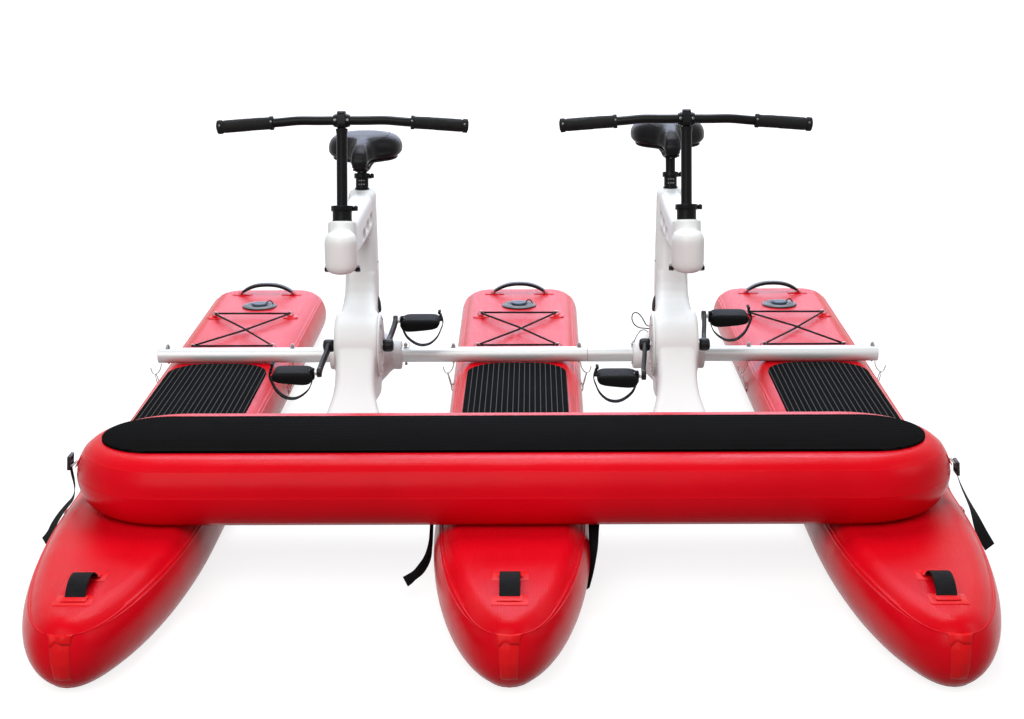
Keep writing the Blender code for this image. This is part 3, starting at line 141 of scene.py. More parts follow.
def cord(name, line, radius, material, closed=False):
    curve = bpy.data.curves.new(name, "CURVE")
    curve.dimensions = "3D"
    curve.bevel_depth = radius
    curve.bevel_resolution = 4
    curve.use_fill_caps = True
    spline = curve.splines.new("POLY")
    spline.use_cyclic_u = closed
    spline.points.add(len(line) - 1)
    for knot, point in zip(spline.points, line):
        knot.co = (*point, 1)
    curve.materials.append(material)
    piece = bpy.data.objects.new(name, curve)
    bpy.context.scene.collection.objects.link(piece)
    return piece


def run_of(line):
    return sum((b - a).length for a, b in zip(line, line[1:]))


cord_black = finish("cord_black", (0.01, 0.01, 0.011), (0.004, 0.004, 0.005), (0.5, 0.7), 40, 2500, 0.0003,
    weave=0.0016, mirror=0.1)
pull = eased([(0.401, 0.398, 0.265), (0.3885, 0.405, 0.2655), (0.3765, 0.41, 0.266), (0.3691, 0.414, 0.269),
    (0.3569, 0.416, 0.2898), (0.3438, 0.416, 0.3031), (0.3315, 0.415, 0.301), (0.3286, 0.413, 0.2857),
    (0.3356, 0.411, 0.2703), (0.3495, 0.411, 0.2611), (0.3643, 0.409, 0.2596), (0.3775, 0.402, 0.2602),
    (0.39, 0.397, 0.2606), (0.401, 0.394, 0.261)])
pull_cord = keep(cord("right_bike_pull_cord", pull, 0.0016, cord_black), "craft", "black_rubber")
tether = eased([(0.369, 0.33, 0.268), (0.362, 0.345, 0.2705), (0.352, 0.372, 0.262), (0.343, 0.405, 0.24),
    (0.337, 0.432, 0.216), (0.334, 0.444, 0.2065)])
tether_cord = keep(cord("right_bike_tether", tether, 0.0012, cord_black), "craft", "black_rubber")

# ---------------------------------------------------------------- floats
# Three drop-stitch floats of coated red PVC: two flat panels held apart by threads and
# joined by a bulging wall, with the wall's tape lapped over their edges, and a wrap on the bow.
FLOAT_LENGTH, FLOAT_WIDTH, BOW_WIDTH, THICKNESS = 2.9, 0.385, 0.352, 0.15
BULGE, BOW_LENGTH, CORNER = 0.06, 0.743, 0.1
FLOAT_X = {"left": -0.85, "middle": 0.0, "right": 0.85}
FLOAT_TOP = THICKNESS + 0.0003
FLOAT_SEAMS = (-72, -66, 40, 46.5)
TUBE_Y, TUBE_Z, TUBE_RADIUS = 0.453, 0.1728, 0.0225
red_pvc = finish("red_coated_pvc", (0.62, 0.0022, 0.01), (0.55, 0.0014, 0.007), (0.2, 0.28), 4, 1600,
    0.00014, weave=0.006, mirror=0.055, marks=(0.48, 0.006, 0.012), flat=True, ripple=0.0035)
red_patch = finish("red_patch_pvc", (0.69, 0.008, 0.011), (0.61, 0.005, 0.008), (0.24, 0.34), 9, 1600,
    0.00014, weave=0.006, mirror=0.08, marks=(0.53, 0.01, 0.014), flat=True, ripple=0.002)


def solid(name, form, material, at=None, crease=32):
    """A smooth-shaded piece from a finished form, with its sharp edges kept."""
    bmesh.ops.recalc_face_normals(form, faces=form.faces[:])
    mesh = bpy.data.meshes.new(name)
    form.to_mesh(mesh)
    form.free()
    if at is not None:
        mesh.transform(at)
    mesh.shade_smooth()
    mesh.set_sharp_from_angle(angle=math.radians(crease))
    mesh.materials.append(material)
    piece = bpy.data.objects.new(name, mesh)
    bpy.context.scene.collection.objects.link(piece)
    return piece


def skin(rings, closed=False):
    """A closed form through rings of equally many points; a ring of one point is a tip."""
    form = bmesh.new()
    loops = [[form.verts.new(point) for point in ring] for ring in rings]
    count = max(len(ring) for ring in rings)
    for low, high in zip(loops, loops[1:] + loops[:1] if closed else loops[1:]):
        for i in range(count):
            j = (i + 1) % count
            corners = (low[i % len(low)], low[j % len(low)], high[j % len(high)], high[i % len(high)])
            form.faces.new(list(dict.fromkeys(corners)))
    for end in (loops[0], loops[-1]):
        if len(end) > 2 and not closed:
            form.faces.new(end)
    return form


def put(x, y, z, axis="X", turn=0.0):
    """The place of a piece, and its turn about one axis."""
    return Matrix.Translation((x, y, z)) @ Matrix.Rotation(turn, 4, axis)


def turns(count):
    return [math.tau * k / count for k in range(count)]


def arc(x, y, radius, start, sweep, steps):
    return [(x + radius * math.cos(start + sweep * k / steps),
        y + radius * math.sin(start + sweep * k / steps)) for k in range(steps + 1)]


def moved_out(outline, distance):
    grown = []
    for i, (x, y) in enumerate(outline):
        x0, y0 = outline[i - 1]
        x1, y1 = outline[(i + 1) % len(outline)]
        before = Vector((y - y0, x0 - x)).normalized()
        after = Vector((y1 - y, x - x1)).normalized()
        normal = (before + after).normalized()
        out = distance[i] if isinstance(distance, list) else distance
        grown.append((x + out * normal.x, y + out * normal.y))
    return grown


def float_panel():
    """The flat panel of a float: round-cornered stern, pointed bow."""
    half, bow = FLOAT_WIDTH / 2 - BULGE, BOW_WIDTH / 2 - BULGE
    corner = CORNER - BULGE
    stern, tip = FLOAT_LENGTH / 2 - BULGE, -FLOAT_LENGTH / 2 + BULGE
    shoulder = -FLOAT_LENGTH / 2 + BOW_LENGTH
    left = arc(-half + corner, stern - corner, corner, math.pi / 2, math.pi / 2, 10)
    left += [(-half + (half - bow) * t, stern - corner + (shoulder - stern + corner) * t)
        for t in (0.25, 0.5, 0.75)]
    for k in range(30):
        share = math.sin(math.pi / 2 * k / 30)
        left.append((-bow * (1 - share * share) ** 0.62, shoulder + (tip - shoulder) * share))
    return left + [(0.0, tip)] + [(-x, y) for x, y in reversed(left)]


def step_angles(seams):
    """The angles at which a wall needs rings: even steps, and both edges of each seam."""
    return sorted({k * 7.5 for k in range(-12, 13)} | {seam + k for seam in seams
        for k in (-1.1, -0.5, 0.5, 1.1)})


def proud_at(angle, seams, bead=0.0008):
    """How far the wall stands out: each tape adds a little inside its edges, and its edge is a fine bead."""
    tapes = sum(0.0006 for seam in seams if (angle < seam - 0.2 if seam > 0 else angle > seam + 0.2))
    return tapes - 0.0003 * len(seams) + bead * sum(abs(angle - seam) < 0.8 for seam in seams)


panel = float_panel()
tip = panel.index((0.0, -FLOAT_LENGTH / 2 + BULGE))
close = [math.exp(-(((y - panel[tip][1]) ** 2 + x * x) / 0.0081)) for x, y in panel]


def float_ring(angle, proud):
    """One ring round a float's wall, at an angle up its bulge; at the bow the seams draw together
    and the underside rises a little."""
    draw = max(1 - abs(angle - 43) / 14, 0)
    angles = [math.radians(angle + (41 - angle) * near * draw) for near in close]
    grown = moved_out(panel, [BULGE * math.cos(t) + proud * max(math.cos(t), 0.3) for t in angles])
    ring = []
    for (x, y), t in zip(grown, angles):
        rise = THICKNESS / 2 * (1 + math.sin(t)) + proud * math.sin(t)
        lift = 0.007 * max((-y - 1.05) / 0.4, 0) ** 2
        ring.append((x, y, rise + lift * (1 - rise / THICKNESS)))
    return ring


def nose_row(angle, proud, half, count=9):
    """A row of points across the bow, at an angle up its bulge."""
    ring = float_ring(angle, proud)[tip - 14:tip + 15]
    row = []
    for k in range(count):
        x = half * (2 * k / (count - 1) - 1)
        for a, b in zip(ring, ring[1:]):
            if a[0] <= x <= b[0]:
                part = (x - a[0]) / (b[0] - a[0])
                row.append(tuple(p + (q - p) * part for p, q in zip(a, b)))
                break
    return row


def sheet_of(rows):
    form = bmesh.new()
    made = [[form.verts.new(point) for point in row] for row in rows]
    for low, high in zip(made, made[1:]):
        for i in range(len(low) - 1):
            form.faces.new((low[i], low[i + 1], high[i + 1], high[i]))
    return form


for side, x in FLOAT_X.items():
    here = put(x, 0, 0)
    hull = solid(f"float_hull_{side}", skin([float_ring(a, proud_at(a, FLOAT_SEAMS))
        for a in step_angles(FLOAT_SEAMS)]), red_pvc, here, 50)
    keep(hull, "craft", "red_pvc", f"float_{side}")
    strip = [nose_row(42 - 76 * k / 26, 0.0016 + 0.0003 * math.sin(0.9 * k), 0.022 - 0.006 * k / 26)
        for k in range(27)]
    flap = []
    for k in range(8):
        row, half = [], 0.026 - 0.001 * k
        for i in range(13):
            u = i / 6 - 1
            angle = 48 - (18 + 7 * abs(u) ** 1.6 + 2.0 * math.sin(4.2 * u + 0.7)) * k / 7
            row.append(nose_row(angle, 0.002 + 0.0026 * math.sin(math.pi * k / 7.6)
                * (1 + 0.6 * math.sin(3.9 * u)), half, 13)[i])
        flap.append(row)
    for label, rows in (("wrap", strip), ("flap", flap)):
        piece = solid(f"bow_{label}_{side}", sheet_of(rows), red_patch, here, 50)
        layer = piece.modifiers.new("thickness", "SOLIDIFY")
        layer.thickness = 0.0008
        keep(piece, "craft", "red_pvc")

# ---------------------------------------------------------------- valves
# A round moulded valve seat with fine raised rings, welded on the stern deck of each float,
# with a black screw cap in its middle, held by a short rubber tether; the cap's grey-blue colour is a painted
# highlight.
VALVE_Y = TUBE_Y + 0.701
soft_black = finish("soft_black_moulding", (0.01, 0.01, 0.011), (0.005, 0.005, 0.006), (0.3, 0.44), 30,
    1800, 0.0001, mirror=0.22, marks=(0.03, 0.03, 0.031))
pale_ring = finish("pale_ring", (0.34, 0.36, 0.39), (0.24, 0.26, 0.29), (0.35, 0.5), 60, 1500, 0.0001)
# The cap is black; its grey-blue colour is a painted highlight.
cap_painted_highlight = finish("cap_painted_highlight", (0.06, 0.085, 0.12), (0.04, 0.06, 0.09), (0.4, 0.55), 50, 1500, 0.0001,
    mirror=0.3)


def spun(profile, steps=64, closed=False):
    """A profile of (radius, height) pairs turned about the upright axis; a closed one makes a pipe."""
    rings = []
    for radius, height in profile:
        if radius < 0.00001:
            rings.append([(0, 0, height)])
        else:
            rings.append([(radius * math.cos(turn), radius * math.sin(turn), height)
                for turn in turns(steps)])
    return skin(rings, closed)


def hoop(radius, thick, steps=72):
    """A ring of round wire lying level."""
    form = bmesh.new()
    rings = []
    for turn in turns(steps):
        rings.append([form.verts.new(((radius + thick * math.cos(a)) * math.cos(turn),
            (radius + thick * math.cos(a)) * math.sin(turn), thick * math.sin(a))) for a in turns(10)])
    for k in range(steps):
        for m in range(10):
            a, b = rings[k], rings[(k + 1) % steps]
            form.faces.new((a[m], a[(m + 1) % 10], b[(m + 1) % 10], b[m]))
    return form


for side, x in FLOAT_X.items():
    here = put(x, VALVE_Y, FLOAT_TOP)
    seat = solid(f"valve_seat_{side}", spun([(0, 0.004), (0.027, 0.004), (0.029, 0.006), (0.036, 0.0066),
        (0.052, 0.0044), (0.0555, 0.0026), (0.056, 0.001), (0.056, 0), (0.0175, 0), (0.0175, -0.019),
        (0, -0.019)]), soft_black, here)
    keep(seat, "craft", "grey_plastic", f"valve_{side}")
    for k, (radius, height) in enumerate(((0.0515, 0.0045), (0.0465, 0.0052), (0.0415, 0.0059))):
        keep(solid(f"valve_ring_{side}_{k}", hoop(radius, 0.001), pale_ring, here @ put(0, 0, height)),
            "craft", "grey_plastic")
    cap = []
    for radius, height in ((0.0225, 0.0035), (0.023, 0.0045), (0.023, 0.0105), (0.0215, 0.0118),
            (0.019, 0.0122), (0.01, 0.0112), (0.004, 0.011)):
        grip = 0.0007 if 0.0225 < radius else 0.0
        ribbed = [(t, radius + grip * math.cos(24 * t)) for t in turns(144)]
        cap.append([(r * math.cos(t), r * math.sin(t), height) for t, r in ribbed])
    keep(solid(f"valve_cap_{side}", skin(cap), cap_painted_highlight, here, 40), "craft", "grey_plastic")
    strap = [here @ Vector(p) for p in eased([(0.021, 0.004, 0.009), (0.027, 0.006, 0.016),
        (0.034, 0.008, 0.018), (0.041, 0.009, 0.012), (0.044, 0.01, 0.0045)])]
    keep(cord(f"valve_tether_{side}", strap, 0.0018, soft_black), "craft", "black_rubber")

# ---------------------------------------------------------------- handles on the floats
# At each stern a moulded rubber grab handle on two welded strips; at each bow a strap of
# black webbing sewn and welded under two patches, standing up lengthways.
GRAB_Y, BOW_STRAP_Y = FLOAT_LENGTH / 2 - 0.114, -FLOAT_LENGTH / 2 + 0.194
webbing = finish("black_webbing_weave", (0.009, 0.009, 0.01), (0.004, 0.004, 0.005), (0.55, 0.75), 60, 2500,
    0.0004, weave=0.0022, mirror=0.06, marks=(0.018, 0.018, 0.019))


def rounded(width, height, radius, steps=4):
    """Points of a rectangle with round corners, as (across, up)."""
    points = []
    for turn, (sx, sy) in enumerate(((1, 1), (-1, 1), (-1, -1), (1, -1))):
        points += arc(sx * (width / 2 - radius), sy * (height / 2 - radius), radius, turn * math.pi / 2,
            math.pi / 2, steps)
    return points


def swept(line, sections, across):
    """A form with one section of (across, up) points at each point of the line."""
    rings = []
    for i, point in enumerate(line):
        tangent = (line[min(i + 1, len(line) - 1)] - line[max(i - 1, 0)]).normalized()
        sideways = (across - tangent * across.dot(tangent)).normalized()
        normal = sideways.cross(tangent)
        section = sections[i] if isinstance(sections[0], list) else sections
        rings.append([point + sideways * u + normal * v for u, v in section])
    return skin(rings)


def patch(width, length, thickness, radius):
    """A flat welded patch with round corners, thinned at its edge."""
    low = [(u, v, 0) for u, v in rounded(width, length, radius, 8)]
    mid = [(u, v, thickness * 0.6) for u, v in rounded(width, length, radius, 8)]
    top = [(u, v, thickness) for u, v in rounded(width - 0.002, length - 0.002, radius - 0.001, 8)]
    return skin([low, mid, top])


for side, x in FLOAT_X.items():
    here = put(x, GRAB_Y, FLOAT_TOP)
    line, sections = [], []
    for k in range(49):
        share = -1 + k / 24
        rise = 0.028 * (1 - abs(share) ** 2.4)
        line.append(Vector((0.0875 * share, 0, 0.0042 + rise)))
        full = 1 - abs(share) ** 6
        sections.append(rounded(0.026 - 0.003 * full, 0.006 + 0.0046 * full, 0.0026))
    grab = solid(f"stern_grab_{side}", swept(line, sections, Vector((0, 1, 0))), soft_black, here)
    keep(grab, "craft", "black_rubber", f"stern_handle_{side}")
    for hand in (-1, 1):
        base = here @ put(hand * 0.083, 0, 0.0002)
        keep(solid(f"stern_strip_{side}_{hand + 1}", patch(0.066, 0.042, 0.001, 0.004), red_patch, base),
            "craft", "red_pvc")
        over = here @ put(hand * 0.088, 0, 0.007)
        keep(solid(f"stern_cover_{side}_{hand + 1}", patch(0.018, 0.036, 0.0012, 0.003), red_patch, over),
            "craft", "red_pvc")
    here = put(x, BOW_STRAP_Y, FLOAT_TOP)
    line = []
    for k in range(49):
        share = -1 + k / 24
        line.append(Vector((0, 0.056 * share, 0.0026 + 0.0245 * (1 - abs(share) ** 2.2))))
    strap = solid(f"bow_strap_{side}", swept(line, rounded(0.041, 0.0034, 0.0015), Vector((1, 0, 0))),
        webbing, here)
    keep(strap, "craft", "black_webbing", f"bow_handle_{side}")
    for hand in (-1, 1):
        base = here @ put(0, hand * 0.062, 0.0001)
        keep(solid(f"bow_patch_{side}_{hand + 1}", patch(0.074, 0.052, 0.0008, 0.003), red_patch, base),
            "craft", "red_pvc")
        over = here @ put(0, hand * 0.061, 0.0036, "X", hand * -0.1)
        keep(solid(f"bow_cover_{side}_{hand + 1}", patch(0.05, 0.024, 0.0007, 0.003), red_patch, over),
            "craft", "red_pvc")

# ---------------------------------------------------------------- bungee lacing
# One rubber cord laced back and across and crosswise over each stern, through steel D-rings
# held on round welded patches.
steel = finish("wire_steel", (0.46, 0.45, 0.44), (0.28, 0.27, 0.26), (0.28, 0.44), 60, 1200, 0.0001,
    metal=1.0, marks=(0.2, 0.17, 0.14))
BACK_ROW, FRONT_ROW, LACE = 1.007, 0.599, 0.12
for side, x in FLOAT_X.items():
    here = put(x, 0, FLOAT_TOP)
    split, middle = 0.0036, (BACK_ROW + FRONT_ROW) / 2
    route = [(-LACE, BACK_ROW + split, 0.012), (LACE, BACK_ROW, 0.012), (0, middle, 0.0075),
        (-LACE, FRONT_ROW, 0.012), (LACE, FRONT_ROW, 0.012), (0, middle, 0.0165),
        (-LACE, BACK_ROW - split, 0.012)]
    route = [here @ Vector(p) for p in route]
    bungee = keep(cord(f"bungee_cord_{side}", route, 0.003, cord_black), "craft", "black_rubber",
        f"bungee_{side}")
    for hand in (-1, 1):
        for row, y in enumerate((FRONT_ROW, BACK_ROW)):
            spot = here @ put(hand * LACE, y, 0.0002)
            disc = spun([(0, 0.0016), (0.024, 0.0016), (0.0258, 0.0008), (0.026, 0), (0, 0)], 48)
            keep(solid(f"lace_patch_{side}_{hand + 1}_{row}", disc, red_patch, spot), "craft", "red_pvc")
            tab = swept([Vector((0, 0.01 * s, 0.003 + 0.0034 * (1 - abs(s) ** 3)))
                for s in (-1, -0.8, -0.5, -0.2, 0, 0.2, 0.5, 0.8, 1)], rounded(0.016, 0.0014, 0.0006),
                Vector((1, 0, 0)))
            keep(solid(f"lace_tab_{side}_{hand + 1}_{row}", tab, red_patch, spot), "craft", "red_pvc")
            loop = [(-0.01, 0, 0.0045)] + [(0.01 * math.cos(a), 0, 0.0062 + 0.0115 * math.sin(a))
                for a in (math.pi - math.pi * k / 12 for k in range(13))] + [(0.01, 0, 0.0045)]
            ring = [spot @ Vector(p) for p in loop]
            keep(cord(f"lace_ring_{side}_{hand + 1}_{row}", ring, 0.0014, steel, True), "craft",
                "satin_aluminium")

# ---------------------------------------------------------------- foot pads on the floats
# Soft black foam sheets glued between the deck and the tube, cut with fine pale lines
# along the float, their corners rounded.


def lined(material, pitch, share, line, direction="X"):
    """Adds fine grooves at a steady pitch to a finish, in the line colour; a line colour darker than the
    finish is painted shade in the grooves.
    """
    tree = material.node_tree
    across = node(tree, "SeparateXYZ", node(tree, "TexCoord").outputs["Object"]).outputs[direction]
    for operation, value in (("MULTIPLY", 1 / pitch), ("FRACT", 0.0), ("SUBTRACT", 0.5), ("ABSOLUTE", 0.0),
            ("LESS_THAN", share / 2)):
        across = node(tree, "Math", across, value, operation=operation).outputs[0]
    paint = node(tree, "MixRGB", Fac=across, Color1=tree.nodes["tone"].outputs["Color"], Color2=(*line, 1))
    groove = node(tree, "Bump", Distance=0.0012, Height=across,
        Normal=tree.nodes["surface"].outputs["Normal"])
    groove.invert = True
    feed(tree, tree.nodes["Principled BSDF"], Base_Color=paint.outputs["Color"],
        Normal=groove.outputs["Normal"])
    return material


foam = lined(finish("pad_foam", (0.006, 0.006, 0.006), (0.0035, 0.0035, 0.0035), (0.85, 0.97), 8, 700,
    0.0005, mirror=0.01, marks=(0.014, 0.014, 0.014)), 0.0147, 0.15, (0.075, 0.075, 0.08))


def pad_form(outline, thickness, edge=0.0016):
    inner = moved_out(outline, -edge)
    return skin([[(u, v, 0) for u, v in outline], [(u, v, thickness - edge) for u, v in outline],
        [(u, v, thickness - edge * 0.3) for u, v in moved_out(outline, -edge * 0.3)],
        [(u, v, thickness) for u, v in inner]])


PAD_LOW, PAD_HIGH, PAD_WIDTH = -0.447, 0.421, 0.28
for side, x in FLOAT_X.items():
    outline = rounded(PAD_WIDTH, PAD_HIGH - PAD_LOW, 0.1, 14)
    here = put(x, (PAD_LOW + PAD_HIGH) / 2, FLOAT_TOP)
    keep(solid(f"foot_pad_{side}", pad_form(outline, 0.006), foam, here), "craft", "black_eva",
        f"float_pad_{side}")

# ---------------------------------------------------------------- cross deck
# A long drop-stitch deck of the same red PVC laid across the three floats, with a grooved
# black foam pad glued on its top between two taped seams; the pad's grooves are painted darker as painted
# shade.
DECK_Y, DECK_LOW, DECK_LENGTH, DECK_WIDTH = -0.725, 0.1503, 1.954, 0.447
DECK_SEAMS = (-70, -52, 2, 48)


def stadium(length, width, steps):
    radius = width / 2
    reach = length / 2 - radius
    left = arc(-reach, 0, radius, math.pi / 2, math.pi, steps)
    return left + arc(reach, 0, radius, -math.pi / 2, math.pi, steps)


deck_at = put(0, DECK_Y, DECK_LOW)
deck_line = stadium(DECK_LENGTH - 2 * BULGE, DECK_WIDTH - 2 * BULGE, 32)
deck_rings = []
for angle in step_angles(DECK_SEAMS):
    turn, proud = math.radians(angle), proud_at(angle, DECK_SEAMS, 0.0002)
    grown = moved_out(deck_line, BULGE * math.cos(turn) + proud * max(math.cos(turn), 0.3))
    rise = THICKNESS / 2 * (1 + math.sin(turn)) + proud * math.sin(turn)
    deck_rings.append([(x, y, rise) for x, y in grown])
deck_hull = solid("deck_hull", skin(deck_rings), red_pvc, deck_at, 50)
keep(deck_hull, "craft", "red_pvc", "deck_float")
# The deck pad's grooves are painted near-black, darker than the foam: painted shade in the grooves.
foam_with_groove_shade = lined(finish("deck_foam_groove_shade", (0.007, 0.007, 0.007), (0.0045, 0.0045, 0.0045), (0.85, 0.97), 8, 700,
    0.0005, mirror=0.01, marks=(0.015, 0.015, 0.015)), 0.0125, 0.32, (0.0015, 0.0015, 0.0015), "Y")
deck_pad = solid("deck_grip_pad", pad_form(stadium(1.84, 0.26, 32), 0.006), foam_with_groove_shade,
    deck_at @ put(0, 0, 0.1503))
keep(deck_pad, "craft", "black_eva", "deck_pad")

# ---------------------------------------------------------------- cross tube
# A satin aluminium tube in two sections plugged together, laid over the floats behind the
# pads and held by six bolts; wire hooks run from it to D-rings on the floats' walls.
aluminium = finish("satin_tube", (0.56, 0.57, 0.57), (0.49, 0.5, 0.5), (0.4, 0.54), 30, 700, 0.00012,
    metal=0.45, stretch=(0.04, 1, 1), marks=(0.52, 0.51, 0.5))
LIE = Matrix.Rotation(math.pi / 2, 4, "Y")
tube_at = put(0, TUBE_Y, TUBE_Z) @ LIE
JOIN, REACH = 0.203, 1.039
right_tube = spun([(0.0205, JOIN), (0.0218, JOIN), (TUBE_RADIUS, JOIN + 0.001),
    (TUBE_RADIUS, REACH - 0.001), (0.0218, REACH), (0.0205, REACH)])
keep(solid("tube_right", right_tube, aluminium, tube_at), "craft", "satin_aluminium", "cross_tube_right")
left_tube = spun([(0.0185, JOIN + 0.08), (0.02, JOIN + 0.079), (0.0202, JOIN - 0.0003),
    (0.0213, JOIN - 0.0003), (0.022, JOIN - 0.0013), (0.022, -REACH + 0.001), (0.0213, -REACH),
    (0.02, -REACH)])
keep(solid("tube_left", left_tube, aluminium, tube_at), "craft", "satin_aluminium", "cross_tube_left")
plug = finish("end_plug", (0.01, 0.01, 0.011), (0.006, 0.006, 0.006), (0.4, 0.6), 40, 1500, 0.0001,
    mirror=0.2)
for hand in (-1, 1):
    stopper = spun([(0, 0.0026), (0.012, 0.0026), (0.0205, 0.0018), (0.0218, 0.0004), (0.0218, 0.0002),
        (0.0195, 0.0002), (0.019, -0.018), (0, -0.018)])
    end = put(hand * (REACH - 0.002), TUBE_Y, TUBE_Z, "Y", hand * math.pi / 2)
    keep(solid(f"tube_plug_{hand + 1}", stopper, plug, end), "craft", "black_plastic")
HOOKS = ((-1.011, -0.85, -1), (-0.65, -0.85, 1), (-0.184, 0, -1), (0.179, 0, 1), (0.668, 0.85, -1),
    (1.024, 0.85, 1))
for k, (x, middle, hand) in enumerate(HOOKS):
    bolt = [(0, 0.011), (0.0024, 0.011), (0.0034, 0.0098), (0.0034, 0.0078), (0.0052, 0.0074),
        (0.0054, 0.006), (0.0054, 0.0016), (0.0074, 0.0012), (0.0074, -0.0006), (0.003, -0.001),
        (0.003, -0.0475), (0, -0.048)]
    top = put(x, TUBE_Y, TUBE_Z + TUBE_RADIUS)
    keep(solid(f"tube_bolt_{k}", spun(bolt, 24), steel, top), "craft", "satin_aluminium")

# ---------------------------------------------------------------- hooks under the tube
# Bent wire hooks hang from the tube's six bolts and hold steel rings, each kept by a red
# tab on a round patch welded on the float's wall.


def wall_point(middle, hand, y, angle, proud):
    """A point on a float's straight wall, at an angle up its bulge."""
    half = FLOAT_WIDTH / 2 - BULGE - (FLOAT_WIDTH - BOW_WIDTH) / 2 * (FLOAT_LENGTH / 2 - CORNER - y) / 2.057
    turn = math.radians(angle)
    return Vector((middle + hand * (half + (BULGE + proud) * math.cos(turn)), y,
        THICKNESS / 2 + (THICKNESS / 2 + proud) * math.sin(turn)))


def ring_on_wall(name, middle, hand, y, angle, top=None):
    """A red patch and tab on a float's wall, with a steel ring that hangs down or is pulled up to a point."""
    rings = [[wall_point(middle, hand, y + 0.021 * share * math.sin(a),
        angle + math.degrees(0.021 * share * math.cos(a) / 0.067), proud) for a in turns(28)]
        for share, proud in ((1.0, -0.002), (1.0, 0.0001), (0.93, 0.001), (0.5, 0.001))]
    rings.append([wall_point(middle, hand, y, angle, 0.001)])
    keep(solid(f"{name}_patch", skin(rings), red_patch), "craft", "red_pvc")
    tab = [wall_point(middle, hand, y, angle + turn, proud) for turn, proud in ((-11, 0.0012), (-8, 0.0022),
        (-3, 0.0052), (2, 0.006), (6, 0.0048), (9, 0.0022), (11, 0.0012))]
    keep(solid(f"{name}_tab", swept(tab, rounded(0.014, 0.0016, 0.0006), Vector((0, 1, 0))), red_patch),
        "craft", "red_pvc")
    low = wall_point(middle, hand, y, angle + 1, 0.004)
    high = top if top else wall_point(middle, hand, y, angle - 22, 0.006)
    centre, reach = (low + high) / 2, (high - low) / 2
    loop = [centre + reach * math.cos(a) + Vector((0, 0.0105 * math.sin(a), 0)) for a in turns(28)]
    keep(cord(f"{name}_ring", loop, 0.0013, steel, True), "craft", "satin_aluminium")


for k, (x, middle, hand) in enumerate(HOOKS):
    bend = [(0, 0.453, 0.1485), (0.001, 0.452, 0.139), (0.006, 0.45, 0.127), (0.015, 0.449, 0.1185),
        (0.024, 0.449, 0.1195), (0.029, 0.449, 0.13), (0.03, 0.449, 0.137)]
    start = max(hand * (x - middle), 0.1835)
    line = eased([(middle + hand * (start + out), y, z) for out, y, z in bend], 5)
    keep(cord(f"tube_hook_{k}", line, 0.0014, steel), "craft", "satin_aluminium")
    ring_on_wall(f"tube_hook_{k}", middle, hand, 0.447, -1,
        Vector((middle + hand * (start + 0.018), 0.449, 0.1185)))

# ---------------------------------------------------------------- retention pins
# A steel pin with a wire ring stands in the tube beside the inner flange of each bike, to
# keep it from sliding on the tube.
for k, x in enumerate((-0.3215, 0.3345)):
    at = put(x, TUBE_Y, TUBE_Z)
    pin = spun([(0, 0.0345), (0.003, 0.034), (0.0048, 0.0318), (0.0052, 0.029), (0.0044, 0.0262),
        (0.0026, 0.025), (0.0026, 0.0235), (0.0062, 0.0232), (0.0062, 0.0222), (0.0026, 0.022),
        (0.0026, -0.025), (0.004, -0.0256), (0.004, -0.03), (0.0024, -0.0312), (0, -0.0312)], 28)
    keep(solid(f"tube_pin_{k}", pin, steel, at), "craft", "satin_aluminium")
    loop = [at @ Vector((0.0035 + 0.0085 * math.cos(a), -0.0065 + 0.005 * math.sin(a),
        0.0295 + 0.0075 * math.sin(a))) for a in turns(24)]
    keep(cord(f"tube_pin_ring_{k}", loop, 0.0008, steel, True), "craft", "satin_aluminium")

# ---------------------------------------------------------------- deck straps
# Black webbing straps tie the deck down to the floats: each outer one hangs from a ring on
# the deck's end through a ladder buckle, and two loose tails hang beside the middle float.


def short_bar(half, middle, axis, small, full, radius):
    """A short straight bar with chamfered ends, from the sizes of its ends and of its middle."""
    line = [Vector(middle) + Vector(axis) * reach for reach in (-half, 0.001 - half, half - 0.001, half)]
    return swept(line, [rounded(*size, radius) for size in (small, full, full, small)], Vector((1, 0, 0)))


def ribbon(name, keys, width):
    """Webbing along its points; each is x, y, z and how far its width is turned about the upright."""
    line = eased([key[:3] for key in keys], 6)
    angles = [turn.x for turn in eased([(key[3], 0, 0) for key in keys], 6)]
    rings = []
    for i, (point, turn) in enumerate(zip(line, angles)):
        tangent = (line[min(i + 1, len(line) - 1)] - line[max(i - 1, 0)]).normalized()
        side = Vector((math.cos(turn), math.sin(turn), 0))
        side = (side - tangent * side.dot(tangent)).normalized()
        normal = side.cross(tangent)
        rings.append([point + side * u + normal * v for u, v in rounded(width, 0.0015, 0.0006, 2)])
    piece = keep(solid(name, skin(rings), webbing), "craft", "black_webbing")
    return piece, run_of(line)


